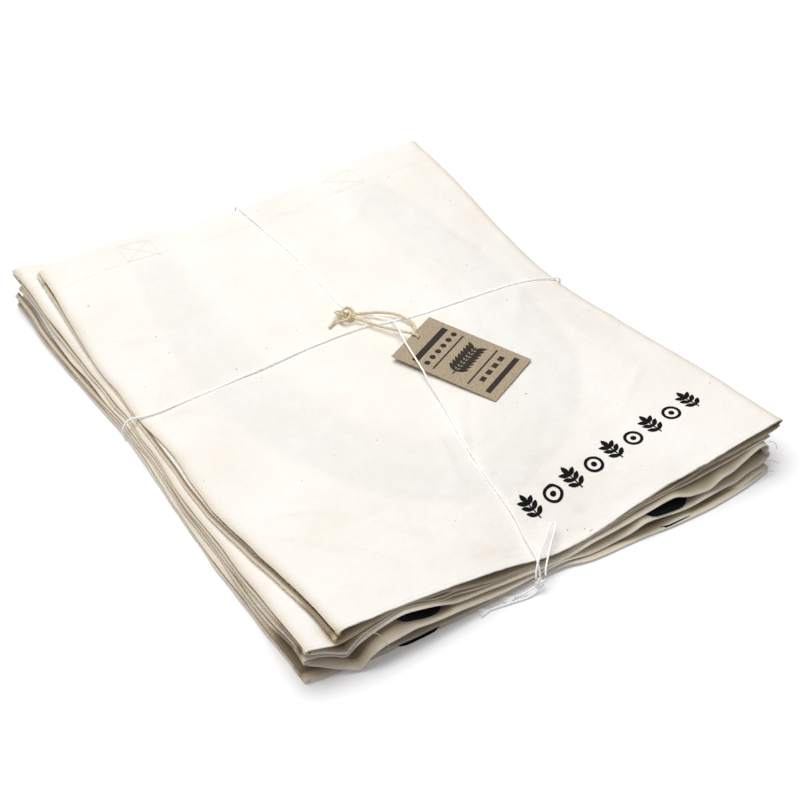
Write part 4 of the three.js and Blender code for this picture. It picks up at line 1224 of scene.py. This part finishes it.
# Loose threads
# Ends of cotton sewing thread, 0.5 mm thick, that were left untrimmed on the seams and hang out at
# the front corners of the pile.
THREAD = 0.0005
THREAD_LAY = 0.0022
LOOSE_THREADS = [
    [
        (-0.1565, -0.237, 0.0282), (-0.15, -0.2405, 0.0268), (-0.1462, -0.2432, 0.0215),
        (-0.144, -0.2442, 0.0155), (-0.1432, -0.2438, 0.0112),
    ],
    [(0.172, -0.2405, 0.0135), (0.182, -0.2432, 0.0118), (0.1895, -0.245, 0.0072)],
    [(0.163, -0.2438, 0.0098), (0.174, -0.2452, 0.007), (0.184, -0.2456, 0.0026)],
    [(0.181, -0.2385, 0.0275), (0.187, -0.24, 0.0235), (0.1885, -0.2412, 0.0185)],
]
# Spun cotton: cream and without shine, and the fine darker lines in its grooves are painted shade.
thread_look = matt_look(
    "cotton_sewing_thread", tones=[(0.35, "#d9c8a6"), (0.6, "#f6eedd")], grain=(1.0, 2.0),
    bump=(0.3, 0.00005), roughness=0.8, along=(2500, 9000, 1),
)
for number, route in enumerate(LOOSE_THREADS, 1):
    thread = laid_cord(f"loose_thread_{number}", smooth_line(route), THREAD, THREAD_LAY, thread_look, sides=6)
    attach(thread, "bundle")


# Card tag
# Grey-brown kraft board, 0.6 mm thick, with flecks of darker and lighter fibre, and a plain
# pattern of bars, dots and a leaf spray printed in dark brown.
CARD_HOLE_AT = Vector((0.0338, -0.0088, 0.03435)) + BUNDLE_AT
CARD_TURN = Euler((math.radians(3.0), math.radians(-2.4), math.radians(25)), "XYZ")
CARD = 0.0006
card_look = matt_look(
    "kraft_board", tones=[(0.3, "#9a8872"), (0.7, "#c0af95")], grain=(900.0, 5.0),
    bump=(0.2, 0.0002), roughness=0.85,
)
card = bpy.data.objects["tag_card"]
card.data.materials.clear()
card.data.materials.append(card_look)

# Printing ink that has sunk into the board: dark brown and uneven.
card_ink_look = matt_look(
    "dark_brown_card_print", tones=[(0.45, "#241c17"), (0.8, "#4a3c31")], grain=(1600.0, 3.0),
    bump=(0.2, 0.0001), roughness=0.8,
)


def bar(left, right, y, height):
    """A straight printed bar across the card."""
    return stroke([Vector((left, y)), Vector((right, y))], height)


def over_card(point):
    """A point of the card's own plan on its printed face; the hole is at 0, 0."""
    turned = Vector((point.x, point.y, CARD / 2 + 0.00004))
    turned.rotate(CARD_TURN)
    return CARD_HOLE_AT + turned


shapes = [bar(-0.024, 0.021, -0.0125, 0.0052)]
shapes += [ring(Vector((-0.0205 + 0.0078 * step, -0.0215)), 0.0024, DOT) for step in range(6)]
shapes += [bar(-0.024, 0.021, -0.0285, 0.0014), bar(-0.024, 0.021, -0.0585, 0.0014)]
stem = [Vector((-0.021 + 0.004 * step, -0.0435)) for step in range(10)]
shapes.append(stroke(stem, STEM_WIDTH))
for point in stem[1:9]:
    shapes += [leaf(point, 0.9, 0.0105, LEAF_WIDTH), leaf(point, -0.9, 0.0105, LEAF_WIDTH)]
shapes += [bar(-0.016 + 0.009 * step, -0.0105 + 0.009 * step, -0.0655, 0.0042) for step in range(4)]
shapes += [bar(-0.024, 0.021, -0.0755, 0.0044)]
printed("tag_card_print", shapes, over_card, card_ink_look, "tag")


# Floor and light
# A pale floor that takes the bundle's shadow. To the camera alone it is whiter and glows more away
# from the bundle, and the world behind it is white. A large soft lamp hangs high behind, and the
# world gives a dim, slightly warm light from all round.
floor_look = new_material("white_studio_floor")
rays = add_node(floor_look, "LightPath")
paper = add_node(
    floor_look, "MixRGB",
    {"Fac": rays.outputs["Is Camera Ray"], "Color1": colour("#c8cbd3"), "Color2": colour("#fbfbfd")},
)
diffuse = add_node(floor_look, "BsdfDiffuse", {"Color": paper})
place = add_node(floor_look, "TexCoord")
away = add_node(floor_look, "VectorMath", {0: place.outputs["Object"]}, operation="LENGTH")
brightness = add_node(
    floor_look, "MapRange",
    {"Value": away.outputs["Value"], "From Min": 0.6, "From Max": 1.8, "To Min": 0.15, "To Max": 1.0},
)
glow = add_node(floor_look, "Emission", {"Color": (1, 1, 1, 1), "Strength": brightness})
dark = add_node(floor_look, "Emission", {"Color": (0, 0, 0, 1), "Strength": 0.0})
seen = add_node(floor_look, "MixShader", {0: rays.outputs["Is Camera Ray"], 1: dark, 2: glow})
both = add_node(floor_look, "AddShader", {0: diffuse, 1: seen})
add_node(floor_look, "OutputMaterial", {"Surface": both})
bpy.ops.mesh.primitive_plane_add(size=12, location=(0, 0, -0.0002))
floor = bpy.context.object
floor.name = "floor"
floor.data.materials.append(floor_look)
floor.select_set(False)

world = bpy.data.worlds.new("surround")
world.use_nodes = True
world.node_tree.nodes.clear()
scene.world = world
surround = add_node(world, "Background", {"Color": (1.0, 0.98, 0.95, 1), "Strength": 0.28})
white = add_node(world, "Background", {"Color": (1, 1, 1, 1), "Strength": 1.0})
rays = add_node(world, "LightPath")
sky = add_node(world, "MixShader", {0: rays.outputs["Is Camera Ray"], 1: surround, 2: white})
add_node(world, "OutputWorld", {"Surface": sky})

lamp = bpy.data.objects.new("soft_lamp", bpy.data.lights.new("soft_lamp", "AREA"))
lamp.data.shape = "RECTANGLE"
lamp.data.size = 2.2
lamp.data.size_y = 1.5
lamp.data.energy = 38
lamp.location = (-0.16, 0.34, 1.9)
lamp.rotation_euler = (Vector((0, 0, 0)) - lamp.location).to_track_quat("-Z", "Y").to_euler()
scene.collection.objects.link(lamp)
